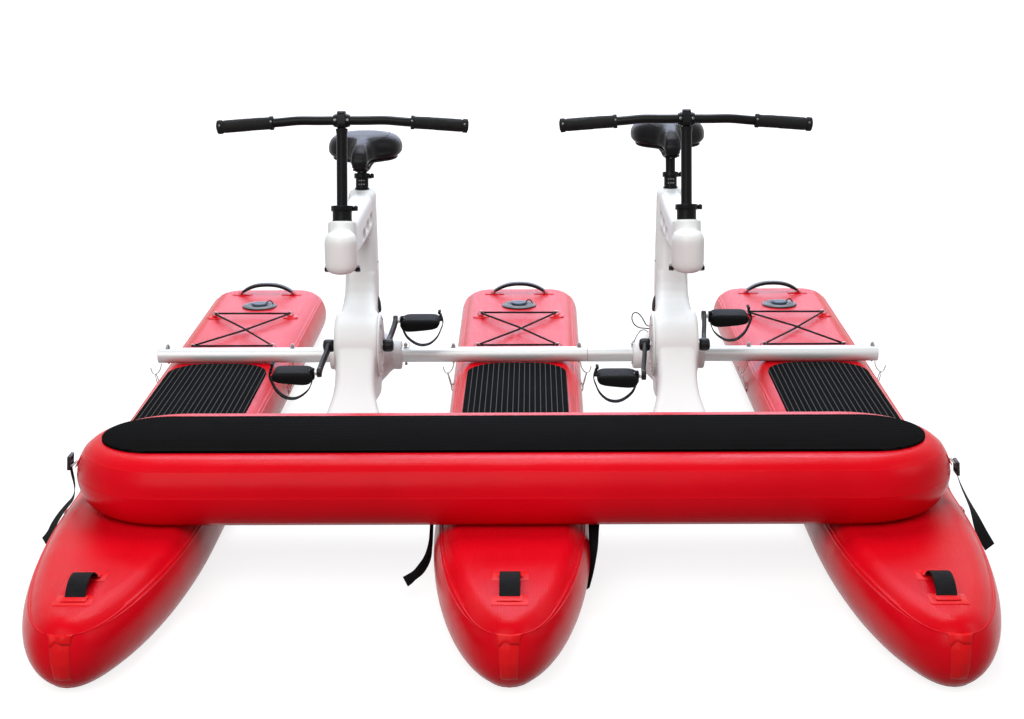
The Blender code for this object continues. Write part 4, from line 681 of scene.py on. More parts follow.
STRAP_Y = -0.76
for label, hand, high, path in (("left", -1, 0.252, ((0.9885, STRAP_Y, 0.242, 1.45),
        (0.987, STRAP_Y, 0.225, 1.45), (0.984, STRAP_Y, 0.205, 1.4), (0.9835, -0.761, 0.185, 1.35),
        (0.989, -0.763, 0.165, 1.3), (1.006, -0.766, 0.145, 1.2), (1.021, -0.77, 0.126, 1.1),
        (1.033, -0.774, 0.106, 0.95), (1.042, -0.777, 0.087, 0.85), (1.056, -0.78, 0.069, 0.8))),
        ("right", 1, 0.233, ((0.9885, STRAP_Y, 0.224, 1.45), (0.993, STRAP_Y, 0.209, 1.45),
        (1.001, -0.761, 0.189, 1.4), (1.012, -0.763, 0.166, 1.35), (1.024, -0.766, 0.142, 1.2),
        (1.0345, -0.77, 0.118, 0.85), (1.044, -0.774, 0.095, 0.5), (1.056, -0.778, 0.072, 0.35),
        (1.069, -0.78, 0.05, 0.3)))):
    mount = put(hand * 0.9668, STRAP_Y, 0.2555, "Y", hand * math.radians(62))
    keep(solid(f"deck_ring_patch_{label}", patch(0.034, 0.04, 0.0016, 0.01), red_patch, mount), "craft",
        "red_pvc")
    loop = [Vector((hand * (0.9735 + 0.0075 * (1 + math.cos(a))), STRAP_Y + 0.011 * math.sin(a),
        0.252 - 0.006 * (1 + math.cos(a)))) for a in turns(24)]
    ring = keep(cord(f"deck_ring_{label}", loop, 0.0016, steel, True), "craft", "satin_aluminium")
    keys = [(hand * x, y, z, hand * turn) for x, y, z, turn in path]
    strap, long = ribbon(f"deck_strap_{label}", keys, 0.028)
    frame_at = put(hand * 0.9885, STRAP_Y, high, "Y", hand * -0.08)
    for k, rise in enumerate((0.013, 0.0, -0.013)):
        rung = short_bar(0.016, (0, 0, rise), (0, 1, 0), (0.006, 0.0036), (0.0074, 0.0048), 0.0014)
        keep(solid(f"deck_buckle_{label}_{k}", rung, soft_black, frame_at), "craft", "black_plastic")
    for k, y in enumerate((-0.0165, 0.0165)):
        rail = short_bar(0.0155, (0, y, 0), (0, 0, 1), (0.006, 0.003), (0.0074, 0.003), 0.0012)
        keep(solid(f"deck_buckle_side_{label}_{k}", rail, soft_black, frame_at), "craft", "black_plastic")
    ring_on_wall(f"float_ring_front_{label}", FLOAT_X[label], hand, -0.7, 24)
    ring_on_wall(f"float_ring_rear_{label}", FLOAT_X[label], hand, -0.56, 38)
for label, width, keys in (("middle_left", 0.024, ((-0.1785, -0.8, 0.149, 1.5),
        (-0.178, -0.84, 0.126, 1.45), (-0.179, -0.88, 0.098, 1.35), (-0.185, -0.91, 0.076, 1.05),
        (-0.2, -0.935, 0.059, 0.75), (-0.219, -0.95, 0.047, 0.6), (-0.23, -0.958, 0.042, 0.5))),
        ("middle_right", 0.026, ((0.18, -0.8, 0.149, -0.6), (0.1795, -0.85, 0.133, -0.75),
        (0.1775, -0.89, 0.106, -1.0), (0.1735, -0.93, 0.083, -1.2), (0.168, -0.965, 0.06, -1.35),
        (0.16, -0.99, 0.037, -1.42)))):
    strap, long = ribbon(f"deck_strap_{label}", keys, width)

# ---------------------------------------------------------------- bike frames
# Each bike stands on a hollow white moulding of polyethylene: a drum round the crank, a column
# for the seat, a beam out to the steering head, a flared foot, and two bosses on the tube.
BIKE_X = {"left": -0.436, "right": 0.436}
bike_at = {side: put(x, TUBE_Y, TUBE_Z) for side, x in BIKE_X.items()}
CRANK, HINGE = Vector((-0.225, 0.086)), Vector((-0.42, -0.082))
SEAT, SEAT_LEAN = Vector((0.01, 0.481)), math.radians(15.8)
HEAD, HEAD_LEAN = Vector((-0.537, 0.492)), math.radians(14.0)
CRANK_AT = put(0, *CRANK)
SEAT_TILT = put(0, *SEAT, "X", -SEAT_LEAN)
HEAD_TILT = put(0, *HEAD, "X", -HEAD_LEAN)
INWARD = {"left": 1, "right": -1}
shell = finish("moulded_white_shell", (0.8, 0.815, 0.81), (0.74, 0.754, 0.75), (0.34, 0.5), 4, 500, 0.00022,
    mirror=0.4, marks=(0.58, 0.56, 0.52))


def settle(piece, crease=40):
    """Takes the piece's modifiers into its mesh."""
    graph = bpy.context.evaluated_depsgraph_get()
    mesh = bpy.data.meshes.new_from_object(piece.evaluated_get(graph), depsgraph=graph)
    old = piece.data
    piece.modifiers.clear()
    piece.data = mesh
    bpy.data.meshes.remove(old)
    mesh.shade_smooth()
    mesh.set_sharp_from_angle(angle=math.radians(crease))
    return piece


def fused(piece, voxel):
    """Melts overlapping forms into one skin."""
    fuse = piece.modifiers.new("fuse", "REMESH")
    fuse.mode = "VOXEL"
    fuse.voxel_size = voxel
    return settle(piece)


def cut_away(piece, forms, crease=40):
    """Cuts closed forms out of a piece, with sharp edges."""
    tools = [solid("tool", form, piece.data.materials[0]) for form in forms]
    for tool in tools:
        cut = piece.modifiers.new("cut", "BOOLEAN")
        cut.operation = "DIFFERENCE"
        cut.solver = "MANIFOLD"
        cut.object = tool
    settle(piece, crease)
    for tool in tools:
        bpy.data.objects.remove(tool, do_unlink=True)
    return piece


def moulded(name, forms, cutters, material, voxel=0.003, soft=5, press=None, swell=0.0):
    """One softly rounded moulding made from closed forms, with sharp-edged holes cut in it."""
    raw = bmesh.new()
    for form in forms:
        bmesh.ops.recalc_face_normals(form, faces=form.faces[:])
        part = bpy.data.meshes.new("part")
        form.to_mesh(part)
        form.free()
        raw.from_mesh(part)
        bpy.data.meshes.remove(part)
    piece = fused(solid(name, raw, material), voxel)
    if press:
        for vertex in piece.data.vertices:
            vertex.co = press(vertex.co)
    soften = piece.modifiers.new("soften", "SMOOTH")
    soften.factor = 0.5
    soften.iterations = soft
    settle(piece)
    for vertex, normal in [(v, v.normal.copy()) for v in piece.data.vertices] if swell else ():
        vertex.co += normal * swell
    return cut_away(piece, cutters, 42)


def placed(form, at):
    bmesh.ops.transform(form, matrix=at, verts=form.verts[:])
    return form


def rod(radius, low, high, at=Matrix(), steps=64):
    return placed(spun([(0, high), (radius, high), (radius, low), (0, low)], steps), at)


def column(inset, low, high, steps, crown=0.0):
    """The seat's column between two depths below its top, with a round shoulder at the top."""
    drops = [high + (low - high) * k / steps for k in range(steps + 1)]
    drops = sorted(drops + [crown * k / 6 for k in range(1, 7)] if crown else drops, reverse=low > high)
    rings = []
    for drop in drops:
        share = min(drop / 0.242, 1.0)
        over = crown * (1 - math.sqrt(max(1 - (1 - drop / crown) ** 2, 0))) if drop < crown else 0.0
        wide, deep = 0.074 + 0.016 * share - 2 * inset - 2 * over, 0.08 + 0.024 * share - 2 * inset - 2 * over
        rings.append([(u, SEAT.x - drop * math.tan(SEAT_LEAN) + v, SEAT.y - drop)
            for u, v in rounded(wide, deep, 0.03 - inset - 0.7 * over, 6)])
    return skin(rings)


def beam(inset, start, end, steps):
    head_middle = HEAD.y - 0.0575 * math.cos(HEAD_LEAN)
    rings = []
    for k in range(steps + 1):
        out = start + (end - start) * k / steps
        share = out / (SEAT.x - HEAD.x)
        tall = 0.118 - 0.02 * share - 2 * inset
        middle = SEAT.y - 0.061 + (head_middle - SEAT.y + 0.061) * share
        rings.append([(u, SEAT.x - out, middle + v) for u, v in rounded(0.062 - 2 * inset, tall,
            0.024 - inset, 6)])
    return skin(rings)


FOOT_DOWN = HINGE - CRANK
FOOT_REACH = FOOT_DOWN.length
FOOT_DOWN.normalize()
FOOT_AHEAD = Vector((FOOT_DOWN.y, -FOOT_DOWN.x))
FOOT_WIDE = ((0.0, 0.1165), (0.3, 0.107), (0.4, 0.105), (0.5, 0.1042), (0.6, 0.1056), (0.7, 0.112),
    (0.8, 0.1235), (0.9, 0.137), (1.0, 0.151), (1.1, 0.165), (1.3, 0.185))


def foot(inset, end, steps):
    rings = []
    for k in range(steps + 1):
        share = end * k / steps
        fade = max(1 - share, 0.0)
        front = 0.04 + 0.052 * fade ** 2 - inset
        back = 0.04 + 0.045 * fade ** 1.5 - inset
        wide = next(b + (d - b) * (share - a) / (c - a) for (a, b), (c, d) in zip(FOOT_WIDE, FOOT_WIDE[1:])
            if share <= c) - 2 * inset
        centre = CRANK + FOOT_DOWN * (FOOT_REACH * share)
        ring = []
        for u, v in rounded(wide, front + back, 0.018 - inset * 0.5, 6):
            point = centre + FOOT_AHEAD * (v + (front - back) / 2)
            ring.append((u, point.x, point.y))
        rings.append(ring)
    return skin(rings)


def gusset():
    """The webs from the foot back under the tube, narrower at their lower edge."""
    rings = []
    for y, low, high, base, wide in ((-0.2588, -0.077, 0.086, 0.088, 0.104),
            (-0.1125, -0.1022, 0.0731, 0.088, 0.112), (-0.0229, -0.119, 0.0498, 0.082, 0.102),
            (0.042, -0.077, 0.0328, 0.078, 0.092)):
        middle, tall = (low + high) / 2, high - low
        rings.append([(u * (base + (wide - base) * (v / tall + 0.5)) / wide, y, middle + v)
            for u, v in rounded(wide, tall, 0.02, 6)])
    return skin(rings)


def shoulder():
    """The fillet that runs from the front of the column down on to the drum."""
    rings = []
    for (y0, z0), (y1, z1), wide in (((-0.102, 0.264), (-0.06, 0.25), 0.082),
            ((-0.1135, 0.236), (-0.07, 0.2), 0.086), ((-0.129, 0.214), (-0.08, 0.17), 0.089),
            ((-0.151, 0.197), (-0.1, 0.15), 0.092), ((-0.181, 0.186), (-0.13, 0.13), 0.096),
            ((-0.216, 0.1795), (-0.17, 0.12), 0.099), ((-0.25, 0.174), (-0.2, 0.11), 0.101),
            ((-0.279, 0.159), (-0.22, 0.1), 0.101)):
        reach = math.hypot(y1 - y0, z1 - z0)
        rings.append([(u, y1 + (y0 - y1) * (v / reach + 0.5), z1 + (z0 - z1) * (v / reach + 0.5))
            for u, v in rounded(wide, reach, 0.018, 6)])
    return skin(rings)


def press_pockets(point):
    """The three long shallow hollows on each side of the beam."""
    for middle in (-0.085, -0.19, -0.297):
        along, up = abs(point.y - middle), abs(point.z - (0.4125 if middle > -0.2 else 0.4085))
        if abs(point.x) > 0.022 and along < 0.05 and up < 0.022:
            gap = 0.015 - math.hypot(max(along - 0.0235, 0), up)
            depth = 0.0065 * min(max((gap + 0.0015) / 0.004, 0.0), 1.0)
            point = Vector((point.x - math.copysign(depth, point.x), point.y, point.z))
    return point


def frame_forms():
    half, edge = 0.059, 0.012
    rim = [(0, half)] + [(0.092 - edge + edge * math.cos(a), half - edge + edge * math.sin(a))
        for a in (math.pi / 2 * (1 - k / 6) for k in range(7))]
    rim += [(r, -h) for r, h in reversed(rim)]
    bulb = [(0, 0.11), (0.02, 0.1096), (0.029, 0.107), (0.0355, 0.101), (0.0395, 0.091), (0.0405, 0.081),
        (0.0405, 0.034), (0.0395, 0.022), (0.0355, 0.012), (0.028, 0.005), (0.017, 0.0012), (0, 0)]
    forms = [placed(spun(rim, 96), CRANK_AT @ LIE), column(0, 0.44, 0, 12, 0.015), beam(0, 0.02, 0.547, 12),
        foot(0, 1.175, 18), gusset(), shoulder(), rod(0.0355, -0.115, 0, HEAD_TILT),
        placed(spun(bulb), put(0, HEAD.x - 0.051, 0.366))]
    boss = [(0, 0.102), (0.0405, 0.102), (0.042, 0.1005), (0.042, 0.0835), (0.0405, 0.082), (0.039, 0.082),
        (0.05, 0.068), (0.0576, 0.062), (0.068, 0.052), (0.08, 0.04), (0, 0.04)]
    forms += [placed(spun(boss), Matrix.Rotation(side * math.pi / 2, 4, "Y")) for side in (1, -1)]
    return forms


for side, here in bike_at.items():
    inner = INWARD[side]
    facing = CRANK_AT @ Matrix.Rotation(inner * math.pi / 2, 4, "Y")
    slot = bmesh.new()
    bmesh.ops.create_cube(slot, size=1.0)
    bmesh.ops.scale(slot, vec=(0.058, 0.517, 0.517), verts=slot.verts[:])
    bmesh.ops.translate(slot, vec=(0, -0.433 + 0.2585, -0.043 - 0.2585), verts=slot.verts[:])
    cutters = [rod(0.086, -0.054, 0.054, CRANK_AT @ LIE), foot(0.005, 1.285, 18),
        column(0.005, 0.3696, 0.02, 8), slot, rod(0.076, 0.044, 0.069, facing),
        rod(0.0106, -0.069, -0.044, facing), rod(0.0221 if side == "left" else 0.0228, -0.2, 0.2, LIE),
        rod(0.0066, -0.2, 0.2, put(0, *HINGE) @ LIE), rod(0.0206, -0.2, 0.05, HEAD_TILT),
        rod(0.05, -0.15, -0.1145, HEAD_TILT), rod(0.0184, -0.08, 0.03, SEAT_TILT)]
    body = moulded(f"{side}_bike_shell", frame_forms(), cutters, shell, press=press_pockets, swell=0.0008)
    body.data.transform(here)
    keep(body, "craft", "white_shell", f"{side}_bike_frame")

# ---------------------------------------------------------------- cable clips
# A small black clip on the inner side of each column, just above the drum, where the steering
# lines' cover ends, and a cross-headed screw higher up.
clip_black = finish("clip_black", (0.009, 0.009, 0.01), (0.005, 0.005, 0.006), (0.35, 0.5), 50, 1400,
    0.0002, mirror=0.25)
for side, here in bike_at.items():
    inner = INWARD[side]
    line = [Vector((inner * out, y, z)) for out, y, z in ((0.0425, -0.082, 0.192), (0.0455, -0.084, 0.186),
        (0.0485, -0.088, 0.176), (0.05, -0.093, 0.164), (0.051, -0.097, 0.156), (0.05, -0.1, 0.151))]
    sections = [rounded(w, h, 0.0026) for w, h in ((0.009, 0.007), (0.0105, 0.0085), (0.0105, 0.0085),
        (0.011, 0.009), (0.01, 0.008), (0.007, 0.006))]
    keep(solid(f"{side}_cable_clip", swept(line, sections, Vector((0, 1, 0))), clip_black, here), "craft",
        "black_plastic")
    spot = here @ put(inner * 0.044, -0.052, 0.285, "Y", inner * math.pi / 2)
    keep(solid(f"{side}_column_screw", spun([(0, 0.0014), (0.001, 0.0014), (0.002, 0.002), (0.0028, 0.0012),
        (0.003, -0.001), (0, -0.001)], 20), clip_black, spot), "craft", "black_plastic")

# ---------------------------------------------------------------- side covers
# A round white lid over the belt's pulley on the inner side of each drum, moulded with
# raised rings and held by six small screws.
screw_steel = finish("screw_steel", (0.22, 0.22, 0.23), (0.13, 0.13, 0.14), (0.28, 0.44), 80, 1500, 0.0001,
    metal=1.0)
for side, here in bike_at.items():
    inner = INWARD[side]
    facing = here @ put(inner * 0.0593, *CRANK, "Y", inner * math.pi / 2)
    lid = [(0.0125, 0), (0.088, 0), (0.088, 0.0022), (0.087, 0.0034), (0.0815, 0.0058), (0.079, 0.006),
        (0.076, 0.0048), (0.0735, 0.0048), (0.0705, 0.0058), (0.048, 0.006), (0.0455, 0.0046),
        (0.0425, 0.0046), (0.04, 0.0058), (0.025, 0.006), (0.0235, 0.005), (0.0125, 0.005)]
    cover = solid(f"{side}_bike_lid", spun(lid, 96), shell, facing, 40)
    keep(cover, "craft", "white_shell", f"{side}_bike_side_cover")
    for k in range(6):
        turn = math.tau * (k + 0.5) / 6
        head = facing @ put(0.0748 * math.cos(turn), 0.0748 * math.sin(turn), 0.005)
        keep(solid(f"{side}_lid_screw_{k}", spun([(0, 0.0008), (0.0012, 0.0008), (0.0026, 0.002),
            (0.0034, 0.0014), (0.0036, 0)], 20), screw_steel, head), "craft", "satin_aluminium")

# ---------------------------------------------------------------- steering shafts
# A black anodised shaft turns in each head; the sleeve above it holds the handlebar post, and
# the yoke below it takes the steering lines. The sleeve's clamp is shut by a cam lever.
anodised = finish("black_anodised", (0.0055, 0.0055, 0.006), (0.0035, 0.0035, 0.004), (0.24, 0.36), 40,
    1600, 0.00008, mirror=0.09, marks=(0.012, 0.012, 0.013))


def cam_lever(name, collar, height, at, body, cad_node):
    """A curved lever that lies round its clamp, with the barrel it turns on."""
    reach = collar + 0.0058
    line, sections = [], []
    for k in range(17):
        share = k / 16
        turn = 0.1 + 0.032 / reach * share
        radius = reach + 0.0015 + 0.0045 * share
        line.append(Vector((radius * math.cos(turn), radius * math.sin(turn), height)))
        sections.append(rounded(0.0082 + 0.0022 * share, 0.005 - 0.0016 * share, 0.0015, 3))
    keep(solid(name, swept(line, sections, Vector((0, 0, 1))), anodised, at), body, "black_metal", cad_node)
    barrel = solid(name + "_barrel", spun([(0, 0.006), (0.0042, 0.006), (0.0053, 0.0052), (0.0055, 0.004),
        (0.0055, -0.004), (0.0053, -0.0052), (0.0042, -0.006), (0, -0.006)], 32), anodised,
        at @ put(reach, 0, height))
    nut = solid(name + "_pin", spun([(0, 0.0076), (0.0022, 0.0076), (0.0026, 0.006), (0, 0.006)], 20),
        screw_steel, at @ put(reach, 0, height))
    keep(barrel, body, "black_metal")
    keep(nut, body, "satin_aluminium")


for side, here in bike_at.items():
    tilt = here @ HEAD_TILT
    sleeve = [(0.0141, 0.04), (0.0279, 0.04), (0.0285, 0.0392), (0.0285, 0.028), (0.0279, 0.027),
        (0.0248, 0.0266), (0.0245, 0.024), (0.0245, 0.003), (0.0262, 0.0022), (0.0262, 0.0003),
        (0.02, 0.0003), (0.02, -0.1253), (0.0141, -0.1253)]
    shaft = solid(f"{side}_steering_sleeve", spun(sleeve, closed=True), anodised, tilt)
    keep(shaft, f"{side}_steering", "black_metal", f"{side}_bike_steering_shaft")
    yoke = swept([Vector((-0.045 + 0.0075 * k, 0, -0.1203 - (0.002 if 3 < k < 9 else 0)))
        for k in range(13)], [rounded(0.016 + 0.008 * math.sin(math.pi * k / 12) ** 0.5, 0.0098, 0.003)
        for k in range(13)], Vector((0, 1, 0)))
    yoke = solid(f"{side}_steering_yoke", yoke, anodised, tilt)
    cut_away(yoke, [rod(0.0142, -0.2, 0.0, tilt)])
    keep(yoke, f"{side}_steering", "black_metal")
    for hand in (-1, 1):
        pivot = tilt @ put(hand * 0.039, 0, -0.1154)
        keep(solid(f"{side}_yoke_bolt_{hand + 1}", spun([(0, 0.0058), (0.0022, 0.0058), (0.003, 0.004),
            (0.0052, 0.0038), (0.0054, 0.0004), (0.006, 0), (0.006, -0.012), (0, -0.0124)], 24),
            screw_steel, pivot), f"{side}_steering", "satin_aluminium")
    cam_lever(f"{side}_bar_cam", 0.0285, 0.0335, tilt, f"{side}_bar_lever", f"{side}_bike_bar_lever")

# ---------------------------------------------------------------- handlebar posts
# A satin black tube slides in the steering sleeve; on its top a short barrel is forged on,
# split and closed round the bar by two bolts under a small square loop.
CLASP_RISE = 0.256
for side, here in bike_at.items():
    tilt = here @ HEAD_TILT
    post = spun([(0, -0.11), (0.0125, -0.11), (0.01375, -0.109), (0.01375, 0.222), (0.015, 0.23),
        (0.0155, 0.235), (0, 0.235)])
    keep(solid(f"{side}_bar_tube", post, anodised, tilt), f"{side}_bar", "black_metal",
        f"{side}_bike_bar_post")
    clasp = tilt @ put(0, 0, CLASP_RISE) @ LIE
    collar = [(0.0118, -0.021), (0.0145, -0.021), (0.0155, -0.02), (0.0155, -0.0168), (0.017, -0.016),
        (0.017, 0.016), (0.0155, 0.0168), (0.0155, 0.02), (0.0145, 0.021), (0.0118, 0.021)]
    keep(solid(f"{side}_bar_clasp", spun(collar), anodised, clasp), f"{side}_bar", "black_metal")
    outline = [(v, w + 0.0012) for v, w in rounded(0.04, 0.0455, 0.013, 6)]
    block = skin([[(x, v * s, w * s) for v, w in outline] for x, s in ((-0.0105, 0.94), (-0.0095, 1.0),
        (0.0095, 1.0), (0.0105, 0.94))])
    keep(solid(f"{side}_bar_block", block, anodised, tilt @ put(0, 0, CLASP_RISE)), f"{side}_bar",
        "black_metal")
    for hand in (-1, 1):
        ear = tilt @ put(hand * 0.0158, -0.014, CLASP_RISE, "X", math.pi / 2)
        keep(solid(f"{side}_clasp_bolt_{hand + 1}", spun([(0, 0.0022), (0.0014, 0.0022), (0.0018, 0.0032),
            (0.003, 0.003), (0.0033, 0.0024), (0.0033, -0.0012), (0, -0.0012)], 24), screw_steel, ear),
            f"{side}_bar", "satin_aluminium")

# ---------------------------------------------------------------- handlebars
# A black bar bent slightly up and then down and back to its ends, with moulded rubber grips
# that start at a raised collar.
grip_rubber = finish("grip_rubber", (0.011, 0.011, 0.011), (0.007, 0.007, 0.007), (0.52, 0.7), 40, 1400,
    0.0004, mirror=0.1, marks=(0.018, 0.018, 0.018))


def bar_line(x):
    share = max(abs(x) - 0.021, 0.0) / 0.299
    lift = 0.0024 * math.exp(-((abs(x) - 0.11) / 0.04) ** 2)
    return Vector((x, 0.022 * share ** 1.6, CLASP_RISE - 0.013 * share ** 1.6 + lift))


for side, here in bike_at.items():
    tilt = here @ HEAD_TILT
    xs = [-0.178 + 0.356 * k / 60 for k in range(61)]
    bar = swept([bar_line(x) for x in xs], arc(0, 0, 0.0115, 0, math.tau, 32)[:-1], Vector((0, 1, 0)))
    keep(solid(f"{side}_bar_bend", bar, anodised, tilt), f"{side}_bar", "black_metal",
        f"{side}_bike_handlebar")
    for hand in (-1, 1):
        line, sections = [], []
        stations = [(0.1745, 0.0119), (0.1747, 0.0166), (0.1752, 0.0176), (0.183, 0.0176), (0.1836, 0.0168),
            (0.184, 0.0158)]
        stations += [(0.185 + 0.0026 * k, 0.0157) for k in range(47)]
        stations += [(0.306, 0.0158), (0.3064, 0.017), (0.307, 0.0178), (0.3165, 0.0178), (0.318, 0.0168),
            (0.3186, 0.012), (0.3198, 0.0116), (0.32, 0.0)]
        for x, radius in stations:
            line.append(bar_line(hand * x))
            section = []
            for m in range(32):
                turn = math.tau * m / 32
                pad = 0.0
                if 0.19 < x < 0.302:
                    edge = 1.05 + 0.45 * math.sin((x - 0.19) * 56)
                    pad = 0.0009 * min(max((edge - abs(turn - math.pi)) * 6, 0), 1) + 0.0006 * (x > 0.235)
                r = max(radius + pad, 0.0001)
                section.append((r * math.cos(turn), r * math.sin(turn)))
            sections.append(section)
        grip = solid(f"{side}_grip_{hand + 1}", swept(line, sections, Vector((0, 1, 0))), grip_rubber, tilt,
            50)
        keep(grip, f"{side}_bar", "black_rubber")
        for x in (0.1791, 0.3118):
            spot = tilt @ Matrix.Translation(bar_line(hand * x) + Vector((0, -0.017, 0.002)))
            spot = spot @ Matrix.Rotation(math.pi / 2, 4, "X")
            keep(solid(f"{side}_grip_bolt_{hand + 1}_{int(x * 1000)}",
                spun([(0, 0.0004), (0.001, 0.0004), (0.0014, 0.0014), (0.0024, 0.0012), (0.0026, 0.0006),
                (0.0026, -0.001), (0, -0.001)], 20), screw_steel, spot), f"{side}_bar", "satin_aluminium")

# ---------------------------------------------------------------- seat sleeves and posts
# A black sleeve is glued into the top of each column, with a clamp ring and cam lever; the
# anodised seat post slides in it and carries the saddle's rails in a two-bolt clamp.
SEAT_RISE = {"left": 0.066, "right": 0.101}
for side, here in bike_at.items():
    tilt = here @ SEAT_TILT
    sleeve = [(0.0139, 0.045), (0.0219, 0.045), (0.0225, 0.0442), (0.0225, 0.033), (0.0219, 0.0322),
        (0.0183, 0.0316), (0.018, 0.03), (0.018, 0.006), (0.0205, 0.004), (0.0205, 0.0014), (0.018, 0.001),
        (0.018, -0.1), (0.0139, -0.1)]
    keep(solid(f"{side}_seat_collar", spun(sleeve, closed=True), anodised, tilt), "craft", "black_metal",
        f"{side}_bike_seat_sleeve")
    for k, turn in enumerate((-1.95, -1.57, -1.19)):
        for low in (0.013, 0.024):
            spot = tilt @ put(0.0178 * math.cos(turn), 0.0178 * math.sin(turn), low)
            spot = spot @ Matrix.Rotation(turn, 4, "Z") @ LIE
            keep(solid(f"{side}_collar_screw_{k}_{int(low * 1000)}",
                spun([(0, 0.0006), (0.0008, 0.0006), (0.0016, 0.0012), (0.0022, 0.0007), (0.0024, -0.0006),
                (0, -0.0006)], 16), screw_steel, spot), "craft", "satin_aluminium")
    cam_lever(f"{side}_seat_cam", 0.0225, 0.0385, tilt, f"{side}_seat_lever", f"{side}_bike_seat_lever")
    high = SEAT_RISE[side]
    post = solid(f"{side}_seat_tube", spun([(0, -0.15), (0.012, -0.15), (0.0135, -0.149),
        (0.0135, high - 0.02), (0.0142, high - 0.016), (0.0142, high - 0.0045), (0, high - 0.0045)]),
        anodised, tilt)
    keep(post, f"{side}_seat", "black_metal", f"{side}_bike_seat_post")
    cradle = tilt @ put(0, 0, high, "X", SEAT_LEAN)
    jaw = swept([Vector((0, y, -0.006)) for y in (-0.03, -0.029, -0.02, 0, 0.02, 0.029, 0.03)],
        [rounded(w, h, 0.003) for w, h in ((0.03, 0.009), (0.034, 0.0105), (0.04, 0.0118), (0.04, 0.0118),
        (0.04, 0.0118), (0.034, 0.0105), (0.03, 0.009))], Vector((1, 0, 0)))
    keep(solid(f"{side}_seat_jaw", jaw, anodised, cradle), f"{side}_seat", "black_metal")
    for hand in (-1, 1):
        spot = cradle @ put(0, hand * 0.019, -0.0116, "X", math.pi)
        keep(solid(f"{side}_jaw_bolt_{hand + 1}", spun([(0, 0.002), (0.0014, 0.002), (0.0018, 0.0026),
            (0.0032, 0.0024), (0.0036, 0.0018), (0.0036, -0.0006), (0, -0.0006)], 24), screw_steel, spot),
            f"{side}_seat", "satin_aluminium")
        rail = [cradle @ Vector(p) for p in eased([(hand * 0.012, -0.078, 0.013),
            (hand * 0.015, -0.066, 0.005), (hand * 0.019, -0.045, -0.0035), (hand * 0.021, -0.02, -0.0045),
            (hand * 0.021, 0.03, -0.0045), (hand * 0.023, 0.058, -0.002), (hand * 0.034, 0.09, 0.008),
            (hand * 0.046, 0.118, 0.018)])]
        keep(cord(f"{side}_saddle_rail_{hand + 1}", rail, 0.0034, anodised), f"{side}_seat", "black_metal")

# ---------------------------------------------------------------- saddles
# A broad black comfort saddle: gel and foam under a sewn soft cover, wide wings behind, a
# narrow low nose in front, over a plastic pan.
cover_black = finish("saddle_cloth", (0.007, 0.007, 0.008), (0.0045, 0.0045, 0.0055), (0.28, 0.4), 30, 1500,
    0.00012, mirror=0.09, marks=(0.012, 0.012, 0.014))
pan_black = finish("saddle_pan", (0.01, 0.01, 0.011), (0.006, 0.006, 0.007), (0.45, 0.6), 30, 1200, 0.0001,
    mirror=0.2)


def smoothed(piece, crease=40):
    """One step of subdivision, taken into the mesh."""
    finer = piece.modifiers.new("round", "SUBSURF")
    finer.levels = finer.render_levels = 1
    return settle(piece, crease)


SADDLE_NOSE, SADDLE_LENGTH = -0.098, 0.276


def saddle_rings(scale, low):
    """Sections of the cushion from its nose to its tail, as seen from behind."""
    rings = []
    stations = ((0.0, 0.15, 0.56), (0.02, 0.2, 0.7), (0.07, 0.24, 0.8), (0.16, 0.255, 0.85),
        (0.28, 0.27, 0.88), (0.38, 0.32, 0.9), (0.45, 0.46, 0.92), (0.51, 0.68, 0.94), (0.58, 0.87, 0.97),
        (0.67, 0.97, 1.0), (0.78, 1.0, 1.03), (0.88, 0.99, 1.04), (0.95, 0.94, 1.02), (0.985, 0.8, 0.95),
        (1.0, 0.64, 0.84))
    for share, wide, lift in stations:
        half, top = 0.106 * wide * scale, 0.0735 * lift
        y = SADDLE_NOSE + SADDLE_LENGTH * share
        drop = 0.007 * max(1 - share / 0.42, 0) ** 1.5
        outline = ((0.0, low), (0.5, low), (0.8, low + 0.01), (0.96, low + 0.09), (1.04, low + 0.24),
            (1.05, 0.52), (1.01, 0.72), (0.91, 0.89), (0.72, 0.99), (0.45, 1.03), (0.2, 1.045), (0.0, 1.05))
        base = 0.24 * max(1 - share / 0.46, 0) ** 0.7
        points = [(u * half, y, (base + v * (1.05 - base) / 1.05) * top - drop) for u, v in outline]
        rings.append(points + [(-u, y, v) for u, _, v in points[-2:0:-1]])
    return rings


